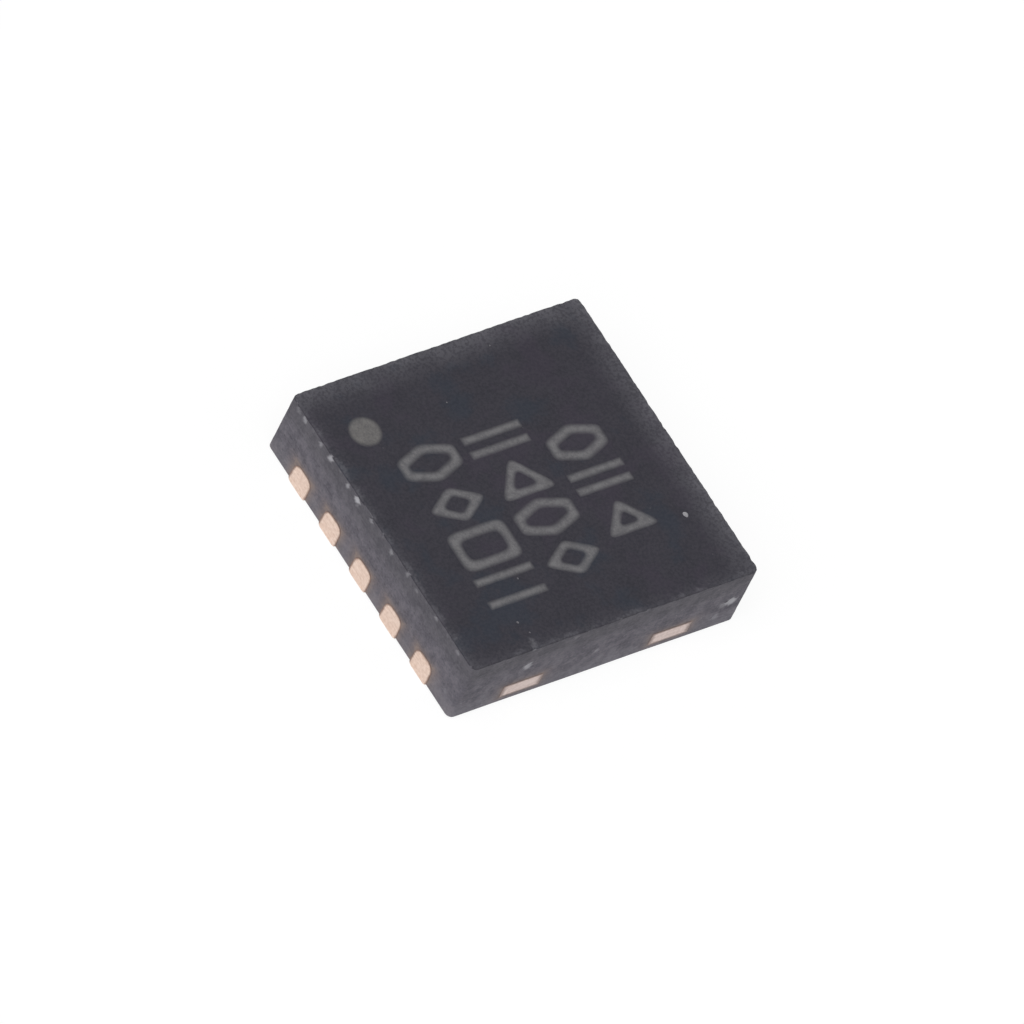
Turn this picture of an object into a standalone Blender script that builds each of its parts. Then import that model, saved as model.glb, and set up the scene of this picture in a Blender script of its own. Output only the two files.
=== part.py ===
"""Stepper motor driver chip: a dual flat no-lead package with ten terminals, sawn from its moulded strip.

The origin lies on the board plane under the middle of the package, with +Z up. The terminals stand
along the -X and +X walls, and terminal 1 is the one at -X and +Y, beside the pin-one mark. The wires,
the die and the lead frame lie in pockets of the moulding, as they are cast in on the real part.
"""

from math import cos, pi, sin

import bmesh
import bpy
from mathutils import Matrix, Vector

MM = 0.001

# Moulded body, in plan
BODY_WIDTH = 3.00 * MM  # along X, between the sawn walls that show the terminals
BODY_LENGTH = 3.00 * MM  # along Y, between the sawn walls that show the tie bars
CORNER_RADIUS = 0.06 * MM
TOP_EDGE_RADIUS = 0.02 * MM

# Stack from the board plane to the top
STANDOFF = 0.03 * MM  # how far the metal stands proud of the moulding
FRAME_THICKNESS = 0.25 * MM
HALF_ETCH = 0.125 * MM  # depth that is etched away from underneath the ledges and tie bars
ATTACH_THICKNESS = 0.03 * MM
DIE_THICKNESS = 0.20 * MM
LOOP_RISE = 0.13 * MM  # top of a wire's loop over the die
LOOP_COVER = 0.14 * MM  # moulding over the loops

# Terminals
TERMINAL_PITCH = 0.50 * MM
TERMINAL_WIDTH = 0.25 * MM
TERMINAL_LENGTH = 0.40 * MM  # exposed underneath
TERMINAL_SHOULDER = 0.08 * MM  # radius of the upper corners that the sawn end shows
TERMINAL_NOSE_FLAT = 0.04 * MM  # flat left in the middle of the round inner end
TERMINAL_LEDGE = 0.04 * MM  # half-etched ledge at each side and at the inner end
TERMINAL_NECK = 0.10 * MM  # length at the sawn wall that has no ledge
TERMINAL_END_ROOM = 0.30 * MM  # least room between the end terminals and the walls beside them

# Exposed pad
PAD_GAP = 0.275 * MM  # between the exposed pad and the terminals
PAD_END_GAP = 0.31 * MM  # between the exposed pad and the walls with the tie bars
PAD_CHAMFER = 0.25 * MM  # corner that marks terminal 1
PAD_CORNER_RADIUS = 0.08 * MM
PAD_RIM = 0.07 * MM  # half-etched rim all round
TIE_BAR_WIDTH = 0.38 * MM
TIE_BAR_INSET = 0.047 * MM  # from the exposed pad's side to a tie bar's middle

# Die and the layer that holds it
DIE_SIDE_MARGIN = 0.175 * MM  # between the die and the pad's sides
DIE_END_MARGIN = 0.24 * MM  # between the die and the pad's ends
ATTACH_SPREAD = 0.05 * MM  # adhesive pressed out past the die
ATTACH_CORNER_RADIUS = 0.05 * MM

# Bond wires
WIRE_RADIUS = 0.0125 * MM
BALL_RADIUS = 0.033 * MM
BALL_HEIGHT = 0.020 * MM
BALL_PROFILE = ((0.0, 0.85), (0.33, 1.0), (0.67, 1.0), (1.0, 0.8))  # shares of its height and radius
NECK_RISE = 0.005 * MM  # from the ball to where the wire has its own radius
BOND_SIDE_INSET = 0.09 * MM  # from a ball's middle to the die's side
BOND_END_INSET = 0.12 * MM  # from the end balls to the die's ends
LOOP_REACH = 0.16 * MM  # from a ball to the top of its loop, seen from above
STITCH_LENGTH = 0.06 * MM
STITCH_INSET = 0.14 * MM  # from a terminal's inner end to the tip of the wire
STITCH_THINNING = 0.4  # share of the wire's radius that is left at its pressed tip

# Clearance that keeps neighbouring solids apart
CLEARANCE = 0.003 * MM

# What counts as level, as a corner and as one point when a mesh is worked
LEVEL_TOLERANCE = 0.0003 * MM
RIM_ANGLE = 1.0  # radians between the faces at an edge of a flat top
MERGE_DISTANCE = 0.0001 * MM

# Facets
CORNER_STEPS = 4
SHOULDER_STEPS = 4
EDGE_STEPS = 2
LOOP_STEPS = 7
WIRE_ROUNDNESS = 1

# Sizes that follow
DIE_SEAT = FRAME_THICKNESS + ATTACH_THICKNESS
DIE_TOP = DIE_SEAT + DIE_THICKNESS
LOOP_TOP = DIE_TOP + LOOP_RISE
TOTAL_HEIGHT = LOOP_TOP + LOOP_COVER
PAD_WIDTH = BODY_WIDTH - 2 * (TERMINAL_LENGTH + PAD_GAP)
PAD_LENGTH = BODY_LENGTH - 2 * PAD_END_GAP
DIE_WIDTH = PAD_WIDTH - 2 * DIE_SIDE_MARGIN
DIE_LENGTH = PAD_LENGTH - 2 * DIE_END_MARGIN
ROW_ROOM = BODY_LENGTH - 2 * TERMINAL_END_ROOM - TERMINAL_WIDTH
ROW_COUNT = int(ROW_ROOM / TERMINAL_PITCH) + 1


def material(name, colour, roughness, metallic=0.0):
    """A Principled BSDF material with one colour."""
    made = bpy.data.materials.new(name)
    made.use_nodes = True
    shader = made.node_tree.nodes["Principled BSDF"]
    shader.inputs["Base Color"].default_value = (*colour, 1.0)
    shader.inputs["Roughness"].default_value = roughness
    shader.inputs["Metallic"].default_value = metallic
    return made


def collection(name):
    """A new collection in the scene."""
    made = bpy.data.collections.new(name)
    bpy.context.scene.collection.children.link(made)
    return made


def block(low, high):
    """A box between two corners, as a bmesh."""
    low, high = Vector(low), Vector(high)
    size = high - low
    mesh = bmesh.new()
    bmesh.ops.create_cube(mesh, size=1.0)
    bmesh.ops.transform(mesh, matrix=Matrix.Diagonal((*size, 1.0)), verts=mesh.verts)
    bmesh.ops.translate(mesh, vec=(low + high) / 2, verts=mesh.verts)
    return mesh


def middle(edge):
    """The middle of an edge."""
    return (edge.verts[0].co + edge.verts[1].co) / 2


def upright_edges(mesh, wanted):
    """The edges along Z whose middle passes a test."""
    found = []
    for edge in mesh.edges:
        run = edge.verts[1].co - edge.verts[0].co
        if abs(run.z) > max(abs(run.x), abs(run.y)) and wanted(middle(edge)):
            found.append(edge)
    return found


def rim_edges(mesh, height, wanted):
    """The edges that bound the flat top at a height and whose middle passes a test."""
    level = [e for e in mesh.edges if all(abs(v.co.z - height) < LEVEL_TOLERANCE for v in e.verts)]
    rims = [e for e in level if len(e.link_faces) == 2 and e.calc_face_angle() > RIM_ANGLE]
    return [e for e in rims if wanted(middle(e))]


def round_edges(mesh, edges, radius, steps):
    """Bevels edges to a radius."""
    bmesh.ops.bevel(mesh, geom=edges, offset=radius, segments=steps, profile=0.5, affect="EDGES")


def everywhere(_point):
    """A test that every place passes."""
    return True


def solid(mesh, name):
    """Turns a bmesh into a mesh, and frees it."""
    bmesh.ops.recalc_face_normals(mesh, faces=mesh.faces)
    made = bpy.data.meshes.new(name)
    mesh.to_mesh(made)
    mesh.free()
    return made


def placed(mesh, name, target, parent=None, matrix=None):
    """An object for a mesh, in a collection."""
    made = bpy.data.objects.new(name, mesh)
    target.objects.link(made)
    made.parent = parent
    if matrix is not None:
        made.matrix_world = matrix
    return made


def fused(meshes, name):
    """One closed mesh from overlapping ones, joined by Boolean unions."""
    scratch = collection("scratch")
    pieces = [placed(mesh, name, scratch) for mesh in meshes]
    for piece in pieces[1:]:
        join = pieces[0].modifiers.new("Join", "BOOLEAN")
        join.operation = "UNION"
        join.object = piece
    bpy.context.view_layer.update()
    graph = bpy.context.evaluated_depsgraph_get()
    made = bpy.data.meshes.new_from_object(pieces[0].evaluated_get(graph))
    made.name = name
    for piece in pieces:
        bpy.data.objects.remove(piece)
    bpy.data.collections.remove(scratch)
    return made


def body_mesh():
    """The moulded block, with its corners and its top edge rounded."""
    mesh = block(
        (-BODY_WIDTH / 2, -BODY_LENGTH / 2, STANDOFF),
        (BODY_WIDTH / 2, BODY_LENGTH / 2, TOTAL_HEIGHT),
    )
    round_edges(mesh, upright_edges(mesh, everywhere), CORNER_RADIUS, CORNER_STEPS)
    round_edges(mesh, rim_edges(mesh, TOTAL_HEIGHT, everywhere), TOP_EDGE_RADIUS, EDGE_STEPS)
    return solid(mesh, "mold_body")


def terminal_mesh(grow=0.0):
    """A terminal with its sawn end at X = 0 and its inner end at +X, grown by a clearance for its pocket.

    Its sawn end is a bar with round shoulders. Past the neck a half-etched ledge spreads at the top,
    so that the moulding under the ledge holds the terminal down.
    """
    half_width = TERMINAL_WIDTH / 2 + grow
    nose = TERMINAL_LENGTH + grow
    top = FRAME_THICKNESS + grow
    nose_radius = half_width - TERMINAL_NOSE_FLAT / 2
    bar = block((-grow, -half_width, -grow), (nose, half_width, top))
    round_edges(bar, upright_edges(bar, lambda p: p.x > TERMINAL_LENGTH / 2), nose_radius, CORNER_STEPS)
    shoulders = rim_edges(bar, top, lambda p: p.x > TERMINAL_NECK / 2)
    round_edges(bar, shoulders, TERMINAL_SHOULDER, SHOULDER_STEPS)
    ledge = block(
        (TERMINAL_NECK - grow, -half_width - TERMINAL_LEDGE, HALF_ETCH - grow),
        (nose + TERMINAL_LEDGE, half_width + TERMINAL_LEDGE, top),
    )
    inner = upright_edges(ledge, lambda p: p.x > TERMINAL_LENGTH / 2)
    round_edges(ledge, inner, nose_radius + TERMINAL_LEDGE, CORNER_STEPS)
    outer = upright_edges(ledge, lambda p: p.x < TERMINAL_LENGTH / 2)
    round_edges(ledge, outer, TERMINAL_LEDGE, EDGE_STEPS)
    return fused([solid(bar, "bar"), solid(ledge, "ledge")], "terminal")


def pad_mesh(grow=0.0):
    """The exposed pad with its half-etched rim and four tie bars, grown by a clearance for its pocket."""
    half_width = PAD_WIDTH / 2 + grow
    half_length = PAD_LENGTH / 2 + grow
    top = FRAME_THICKNESS + grow
    ledge = HALF_ETCH - grow

    def marks_terminal_1(point):
        return point.x < 0 < point.y

    meshes = []
    for rim, bottom, name in ((0.0, -grow, "pad"), (PAD_RIM, ledge, "rim")):
        plate = block(
            (-half_width - rim, -half_length - rim, bottom),
            (half_width + rim, half_length + rim, top),
        )
        chamfered = upright_edges(plate, marks_terminal_1)
        round_edges(plate, chamfered, PAD_CHAMFER, 1)
        rounded = upright_edges(plate, lambda p: not marks_terminal_1(p))
        round_edges(plate, rounded, PAD_CORNER_RADIUS + rim, CORNER_STEPS)
        meshes.append(solid(plate, name))
    bar_middle = PAD_WIDTH / 2 - TIE_BAR_INSET
    bar_half = TIE_BAR_WIDTH / 2 + grow
    bar_end = BODY_LENGTH / 2 + grow
    bar_root = PAD_LENGTH / 2 - PAD_CHAMFER
    for side in (-1, 1):
        for end in (-1, 1):
            near, far = sorted((end * bar_root, end * bar_end))
            bar = block(
                (side * bar_middle - bar_half, near, ledge),
                (side * bar_middle + bar_half, far, top),
            )
            meshes.append(solid(bar, "tie_bar"))
    return fused(meshes, "die_pad")


def attach_mesh(grow=0.0):
    """The adhesive layer under the die, grown by a clearance for its pocket."""
    half_width = DIE_WIDTH / 2 + ATTACH_SPREAD + grow
    half_length = DIE_LENGTH / 2 + ATTACH_SPREAD + grow
    layer = block(
        (-half_width, -half_length, FRAME_THICKNESS + CLEARANCE - grow),
        (half_width, half_length, DIE_SEAT - CLEARANCE + grow),
    )
    round_edges(layer, upright_edges(layer, everywhere), ATTACH_CORNER_RADIUS, EDGE_STEPS)
    return solid(layer, "die_attach")


def die_mesh(grow=0.0):
    """The silicon die, grown by a clearance for its pocket."""
    half_width = DIE_WIDTH / 2 + grow
    half_length = DIE_LENGTH / 2 + grow
    return solid(
        block((-half_width, -half_length, DIE_SEAT - grow), (half_width, half_length, DIE_TOP + grow)),
        "die",
    )


def wire_route(ball, stitch):
    """The points and radii of a bond wire, from the underside of its ball to its pressed tip.

    The wire leaves the ball upright, follows a quarter of an ellipse to the top of its loop, comes down
    along a quarter of a cosine wave, and ends in a thinned run that lies on the terminal.
    """
    run = Vector((stitch.x - ball.x, stitch.y - ball.y, 0.0))
    ahead = run.normalized()
    landing = run.length - STITCH_LENGTH
    landing_height = stitch.z + WIRE_RADIUS
    crest = LOOP_TOP - WIRE_RADIUS
    neck = ball.z + BALL_HEIGHT + NECK_RISE
    base = neck + NECK_RISE
    route = [(0.0, ball.z + BALL_HEIGHT * up, BALL_RADIUS * out) for up, out in BALL_PROFILE]
    route.append((0.0, neck, WIRE_RADIUS))
    for step in range(LOOP_STEPS):
        turn = pi / 2 * step / LOOP_STEPS
        route.append((LOOP_REACH * (1 - cos(turn)), base + (crest - base) * sin(turn), WIRE_RADIUS))
    for step in range(LOOP_STEPS):
        share = step / LOOP_STEPS
        height = landing_height + (crest - landing_height) * cos(pi / 2 * share)
        route.append((LOOP_REACH + (landing - LOOP_REACH) * share, height, WIRE_RADIUS))
    tip_radius = WIRE_RADIUS * STITCH_THINNING
    route.append((landing, landing_height, WIRE_RADIUS))
    route.append((run.length, stitch.z + tip_radius, tip_radius))
    points = [Vector((ball.x, ball.y, height)) + ahead * reach for reach, height, _ in route]
    return points, [radius for _, _, radius in route]


def wire_mesh(ball, stitch, grow=0.0):
    """A bond wire as a bevelled curve made into a mesh, grown by a clearance for its pocket."""
    points, radii = wire_route(ball, stitch)
    points[0] = points[0] - Vector((0.0, 0.0, grow))
    points[-1] = points[-1] + (points[-1] - points[-2]).normalized() * grow
    curve = bpy.data.curves.new("wire", "CURVE")
    curve.dimensions = "3D"
    curve.bevel_depth = WIRE_RADIUS
    curve.bevel_resolution = WIRE_ROUNDNESS
    curve.use_fill_caps = True
    spline = curve.splines.new("POLY")
    spline.points.add(len(points) - 1)
    for point, place, radius in zip(spline.points, points, radii):
        point.co = (*place, 1.0)
        point.radius = (radius + grow) / WIRE_RADIUS
    guide = placed(curve, "wire", bpy.context.scene.collection)
    bpy.context.view_layer.update()
    graph = bpy.context.evaluated_depsgraph_get()
    made = bpy.data.meshes.new_from_object(guide.evaluated_get(graph))
    bpy.data.objects.remove(guide)
    mesh = bmesh.new()
    mesh.from_mesh(made)
    bmesh.ops.remove_doubles(mesh, verts=mesh.verts, dist=MERGE_DISTANCE)
    bmesh.ops.recalc_face_normals(mesh, faces=mesh.faces)
    mesh.to_mesh(made)
    mesh.free()
    return made


def terminal_places():
    """Each terminal's number, side and place along its row: down the -X wall, then up the +X wall."""
    places = []
    for side in (-1, 1):
        for step in range(ROW_COUNT):
            along = (step - (ROW_COUNT - 1) / 2) * side * TERMINAL_PITCH
            places.append((len(places) + 1, side, along))
    return places


def wire_ends(side, along):
    """Where a terminal's wire starts on the die and where its tip lies on the terminal."""
    row_half = (ROW_COUNT - 1) / 2 * TERMINAL_PITCH
    bond_half = DIE_LENGTH / 2 - BOND_END_INSET
    bond_along = along * bond_half / row_half if row_half else 0.0
    ball = Vector((side * (DIE_WIDTH / 2 - BOND_SIDE_INSET), bond_along, DIE_TOP + CLEARANCE))
    tip = BODY_WIDTH / 2 - TERMINAL_LENGTH + STITCH_INSET
    stitch = Vector((side * tip, along, FRAME_THICKNESS + CLEARANCE))
    return ball, stitch


def build():
    """Makes every piece of the chip."""
    for obj in list(bpy.data.objects):
        bpy.data.objects.remove(obj)
    parts = collection("stepper_driver_chip")
    cutters = collection("pockets")
    moulding = material("mold_compound", (0.045, 0.043, 0.052), 0.62)
    copper = material("sawn_copper", (0.74, 0.55, 0.44), 0.38, 1.0)
    tin = material("tinned_pad", (0.62, 0.60, 0.57), 0.42, 1.0)
    adhesive = material("die_adhesive", (0.45, 0.44, 0.42), 0.70)
    silicon = material("silicon", (0.16, 0.17, 0.20), 0.18, 0.6)
    gold = material("gold_wire", (0.90, 0.66, 0.25), 0.25, 1.0)

    package = bpy.data.objects.new("package", None)
    parts.objects.link(package)

    body = placed(body_mesh(), "mold_body", parts, package)
    body.data.materials.append(moulding)

    singles = (("die_pad", pad_mesh, tin), ("die_attach", attach_mesh, adhesive), ("die", die_mesh, silicon))
    for name, make, finish in singles:
        piece = placed(make(), name, parts, package)
        piece.data.materials.append(finish)
        placed(make(CLEARANCE), f"{name}_pocket", cutters)

    terminal = terminal_mesh()
    terminal.materials.append(copper)
    terminal_pocket = terminal_mesh(CLEARANCE)
    for number, side, along in terminal_places():
        turn = Matrix.Rotation(pi if side > 0 else 0.0, 4, "Z")
        place = Matrix.Translation((side * BODY_WIDTH / 2, along, 0.0)) @ turn
        placed(terminal, f"terminal_{number}", parts, package, place)
        placed(terminal_pocket, f"terminal_{number}_pocket", cutters, matrix=place)
        ball, stitch = wire_ends(side, along)
        wire = placed(wire_mesh(ball, stitch), f"bond_wire_{number}", parts, package)
        wire.data.materials.append(gold)
        wire.data.shade_smooth()
        placed(wire_mesh(ball, stitch, CLEARANCE), f"bond_wire_{number}_pocket", cutters)

    for cutter in cutters.objects:
        cutter.hide_render = True
        cutter.display_type = "WIRE"
    hollow = body.modifiers.new("Pockets", "BOOLEAN")
    hollow.operation = "DIFFERENCE"
    hollow.operand_type = "COLLECTION"
    hollow.collection = cutters
    hollow.solver = "EXACT"


build()
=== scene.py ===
"""The looks of a stepper motor driver chip: a black moulded package with sawn copper terminals.

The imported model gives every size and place. This script dresses it: it cuts the moulding, the terminals
and the die pad into fine meshes with sawn, chipped and plated surfaces, adds the laser marks on top, and
sets the floor, the lamps and the camera. Meshes are worked in millimetres and handed over in metres.
"""

import logging
from collections.abc import Callable, Iterable, Iterator, Sequence
from contextlib import contextmanager
from dataclasses import dataclass, field, replace
from enum import Enum
from math import cos, exp, hypot, pi, radians, sin

import bmesh
import bpy
from mathutils import Matrix, Vector, noise
from mathutils.kdtree import KDTree


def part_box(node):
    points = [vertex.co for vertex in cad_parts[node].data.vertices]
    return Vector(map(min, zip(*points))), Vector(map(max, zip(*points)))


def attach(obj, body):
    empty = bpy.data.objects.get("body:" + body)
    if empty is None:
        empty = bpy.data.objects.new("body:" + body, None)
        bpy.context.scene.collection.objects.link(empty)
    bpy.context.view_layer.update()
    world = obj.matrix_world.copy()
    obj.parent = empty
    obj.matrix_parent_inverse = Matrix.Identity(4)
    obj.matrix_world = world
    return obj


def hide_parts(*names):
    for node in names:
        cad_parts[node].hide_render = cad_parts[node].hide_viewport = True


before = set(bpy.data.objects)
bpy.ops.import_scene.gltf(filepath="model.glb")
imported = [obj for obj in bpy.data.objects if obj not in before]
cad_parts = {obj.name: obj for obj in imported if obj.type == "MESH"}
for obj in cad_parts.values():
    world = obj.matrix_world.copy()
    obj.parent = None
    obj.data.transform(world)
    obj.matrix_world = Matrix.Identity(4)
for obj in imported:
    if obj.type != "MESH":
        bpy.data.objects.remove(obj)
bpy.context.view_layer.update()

MM = 0.001
MICRON = 0.000001
ON_SURFACE = 0.0006  # millimetres within which a point counts as lying on a face
NEAR_WALL = 0.03  # millimetres within which a point belongs to a wall
FAR_AWAY = 9.0  # millimetres, past anything on the package
MERGE = 0.00002  # millimetres under which two vertices are one
ONE_PLANE = 0.5  # degrees under which the CAD's triangles join into one face
STEEP = 0.3  # how far up a normal may lean and still belong to a wall
CHIPPED = 0.8  # the same inside a chip
FACES_DOWN = -0.5  # the normal's height under which a face belongs to the underside
WALL_ROW = 3.0  # the row of the noise that the walls read
CUT_ROW = 5.0  # the row that the cut ends read

log = logging.getLogger("scene")

Colour = tuple[float, float, float, float]
WHITE = (1.0, 1.0, 1.0, 1.0)
Test = Callable[[object], bool]
Choice = Callable[[bpy.types.MeshPolygon], int]
Pair = tuple[float, float]


def srgb(red: int, green: int, blue: int) -> Colour:
    """Turns a screen colour into the linear colour that a shader takes.

    Args:
        red: Red, from 0 to 255.
        green: Green, from 0 to 255.
        blue: Blue, from 0 to 255.

    Returns:
        The linear colour with full alpha.
    """
    linear = []
    for value in (red, green, blue):
        share = value / 255
        linear.append(share / 12.92 if value <= 10 else ((share + 0.055) / 1.055) ** 2.4)
    return (*linear, 1.0)


@dataclass(frozen=True)
class Box:
    """A box along the axes, in millimetres."""

    low: Vector
    high: Vector

    @classmethod
    def of_node(cls, node: str) -> "Box":
        """The box of a CAD node."""
        low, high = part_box(node)
        return cls(low / MM, high / MM)

    @property
    def middle(self) -> Vector:
        """The middle of the box."""
        return (self.low + self.high) / 2

    @property
    def size(self) -> Vector:
        """The box's size along each axis."""
        return self.high - self.low


class Element(Enum):
    """What an edit selects."""

    EDGE = "EDGE"
    FACE = "FACE"


class Axis(Enum):
    """An axis that cuts lie square to."""

    X = 0
    Y = 1
    Z = 2


def choose(obj: bpy.types.Object) -> None:
    """Makes one object the only selected one, and the active one.

    Args:
        obj: The object to select.
    """
    bpy.ops.object.select_all(action="DESELECT")
    obj.select_set(True)
    bpy.context.view_layer.objects.active = obj


class Workpiece:
    """A mesh on the bench, shaped in millimetres and handed over in metres."""

    def __init__(self, obj: bpy.types.Object, name: str) -> None:
        """Takes the object and names it.

        Args:
            obj: The object whose mesh is worked.
            name: The piece's name.
        """
        self.obj = obj
        obj.name = name
        obj.data.name = name

    @classmethod
    def from_node(cls, node: str, name: str) -> "Workpiece":
        """Copies a CAD node's mesh, merges its triangles and joins those that lie in one plane.

        Args:
            node: The CAD node to copy.
            name: The new piece's name.

        Returns:
            The copy, in millimetres.
        """
        obj = bpy.data.objects.new(name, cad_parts[node].data.copy())
        bpy.context.scene.collection.objects.link(obj)
        obj.data.transform(Matrix.Scale(1 / MM, 4))
        obj.data.materials.clear()
        piece = cls(obj, name)
        with piece.editing():
            bpy.ops.mesh.select_all(action="SELECT")
            bpy.ops.mesh.remove_doubles(threshold=MERGE)
            bpy.ops.mesh.dissolve_limited(angle_limit=radians(ONE_PLANE))
        return piece

    @classmethod
    def from_active(cls, name: str) -> "Workpiece":
        """Takes the primitive that was just added."""
        return cls(bpy.context.active_object, name)

    def copy(self, name: str) -> "Workpiece":
        """Copies the piece, with a mesh of its own.

        Args:
            name: The copy's name.

        Returns:
            The copy.
        """
        obj = self.obj.copy()
        obj.data = self.obj.data.copy()
        bpy.context.scene.collection.objects.link(obj)
        return Workpiece(obj, name)

    @contextmanager
    def editing(self) -> Iterator[None]:
        """Holds the piece in edit mode."""
        choose(self.obj)
        bpy.ops.object.mode_set(mode="EDIT")
        yield
        bpy.ops.object.mode_set(mode="OBJECT")

    def pick(self, element: Element, test: Test) -> None:
        """Selects the elements that pass a test, and nothing else.

        Args:
            element: Edges or faces.
            test: Says whether one of them is wanted.
        """
        bpy.ops.mesh.select_mode(type=element.value)
        bpy.ops.mesh.select_all(action="DESELECT")
        mesh = bmesh.from_edit_mesh(self.obj.data)
        for item in mesh.edges if element is Element.EDGE else mesh.faces:
            if test(item):
                item.select_set(True)
        mesh.select_flush_mode()
        bmesh.update_edit_mesh(self.obj.data)

    def slice(self, axis: Axis, places: Iterable[float]) -> None:
        """Cuts all visible faces with planes square to an axis.

        Args:
            axis: The axis that the planes are square to.
            places: Where along the axis each plane lies.
        """
        normal = Vector()
        normal[axis.value] = 1.0
        for place in places:
            bpy.ops.mesh.select_all(action="SELECT")
            bpy.ops.mesh.bisect(plane_co=normal * place, plane_no=normal, threshold=MERGE)

    def mark(self, name: str, values: Sequence[float]) -> None:
        """Stores one number per vertex as an attribute that a finish reads."""
        layer = self.obj.data.attributes.new(name, "FLOAT", "POINT")
        layer.data.foreach_set("value", values)

    def dress(self, *finishes: "Finish", choice: Choice | None = None) -> None:
        """Gives the piece its finishes.

        Args:
            finishes: The finishes, in the order of the material slots.
            choice: Picks a face's finish by its place or normal. Without it, every face takes the first.
        """
        for finish in finishes:
            self.obj.data.materials.append(finish.material())
        if choice:
            for face in self.obj.data.polygons:
                face.material_index = choice(face)

    def hand_over(self, slot: str, *nodes: str, smooth: float = 32.0) -> bpy.types.Object:
        """Brings the piece to metres, shades it and rides it on the package.

        Args:
            slot: A material slot's name; not used.
            nodes: CAD nodes that the piece stands for.
            smooth: Degrees under which an edge is shaded smooth.

        Returns:
            The finished object.
        """
        choose(self.obj)
        self.obj.scale = (MM, MM, MM)
        bpy.ops.object.transform_apply(location=True, rotation=True, scale=True)
        bpy.ops.object.shade_smooth_by_angle(angle=radians(smooth))
        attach(self.obj, "root")
        if nodes:
            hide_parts(*nodes)
        stands_for = ", ".join(nodes) or "no node"
        log.info("%s: %d faces, stands for %s", self.obj.name, len(self.obj.data.polygons), stands_for)
        return self.obj


def steps(low: float, high: float, cell: float) -> list[float]:
    """Even places between two ends, about a cell apart and without the ends."""
    count = max(1, round((high - low) / cell))
    return [low + (high - low) * step / count for step in range(1, count)]


def remap(value: float, old: Pair, new: Pair) -> float:
    """Carries a value from one range into another."""
    return new[0] + (value - old[0]) / (old[1] - old[0]) * (new[1] - new[0])


class Graph:
    """Adds and joins nodes in one material or group."""

    def __init__(self, tree: bpy.types.NodeTree) -> None:
        """Takes the node tree to work in."""
        self.tree = tree

    def add(self, kind: str, inputs: dict[str, object] | None = None, **settings: object) -> bpy.types.Node:
        """Adds a node.

        Args:
            kind: The node's type.
            inputs: Values or output sockets for its inputs, by name.
            settings: The node's own properties.

        Returns:
            The node.
        """
        node = self.tree.nodes.new(kind)
        for name, value in settings.items():
            setattr(node, name, value)
        for name, value in (inputs or {}).items():
            self.feed(node.inputs[name], value)
        return node

    def feed(self, socket: bpy.types.NodeSocket, value: object) -> None:
        """Links an output to an input, or sets the input's own value.

        Args:
            socket: The input.
            value: The output or plain value that it takes.
        """
        if isinstance(value, bpy.types.NodeSocket):
            self.tree.links.new(value, socket)
        else:
            socket.default_value = value

    def maths(self, operation: str, *values: object) -> bpy.types.NodeSocket:
        """Adds a Math node.

        Args:
            operation: What it does with its values.
            values: Its values or sockets, in order.

        Returns:
            Its result.
        """
        node = self.add("ShaderNodeMath", operation=operation)
        for socket, value in zip(node.inputs, values):
            self.feed(socket, value)
        return node.outputs[0]

    def times(self, first: object, second: object) -> bpy.types.NodeSocket:
        """The product of two values."""
        return self.maths("MULTIPLY", first, second)

    def weigh(self, first: tuple[object, float], second: tuple[object, float]) -> bpy.types.NodeSocket:
        """The sum of two values, each given with its weight."""
        return self.maths("ADD", self.times(*first), self.times(*second))

    def ramp(
        self, value: object, start: float, end: float, low: float = 0.0, high: float = 1.0
    ) -> bpy.types.NodeSocket:
        """A value carried smoothly from one range into another.

        Args:
            value: The value or socket to carry over.
            start: Where the first range starts.
            end: Where the first range ends.
            low: What its start becomes.
            high: What its end becomes.

        Returns:
            The new value.
        """
        inputs = {"Value": value, "From Min": start, "From Max": end, "To Min": low, "To Max": high}
        return self.add("ShaderNodeMapRange", inputs, interpolation_type="SMOOTHSTEP").outputs["Result"]

    def blend(self, share: object, first: object, second: object) -> bpy.types.NodeSocket:
        """Mixes two colours.

        Args:
            share: The second colour's share, from 0 to 1.
            first: The colour at a share of 0.
            second: The colour at a share of 1.

        Returns:
            The mixed colour.
        """
        node = self.add("ShaderNodeMix", data_type="RGBA")
        colours = [socket for socket in node.inputs if socket.type == "RGBA"]
        self.feed(node.inputs["Factor"], share)
        self.feed(colours[0], first)
        self.feed(colours[1], second)
        return next(socket for socket in node.outputs if socket.type == "RGBA")

    def blend_values(self, share: float, first: object, second: object) -> bpy.types.NodeSocket:
        """A mix of two values."""
        return self.add("ShaderNodeMix", {"Factor": share, "A": first, "B": second}).outputs["Result"]

    def place(self) -> bpy.types.NodeSocket:
        """The object coordinates."""
        return self.add("ShaderNodeTexCoord").outputs["Object"]

    def split_place(self) -> bpy.types.Node:
        """The object coordinates, as X, Y and Z."""
        return self.add("ShaderNodeSeparateXYZ", {"Vector": self.place()})

    def attribute(self, name: str) -> bpy.types.NodeSocket:
        """A number stored on the piece's vertices."""
        return self.add("ShaderNodeAttribute", attribute_name=name).outputs["Fac"]

    def effect(self, tree: bpy.types.NodeTree, **inputs: object) -> bpy.types.Node:
        """Places a shared effect with its own values.

        Args:
            tree: The effect.
            inputs: Values or output sockets for its inputs, by name.

        Returns:
            The node that holds the effect.
        """
        node = self.add("ShaderNodeGroup")
        node.node_tree = tree
        for name, value in inputs.items():
            self.feed(node.inputs[name], value)
        return node


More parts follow.
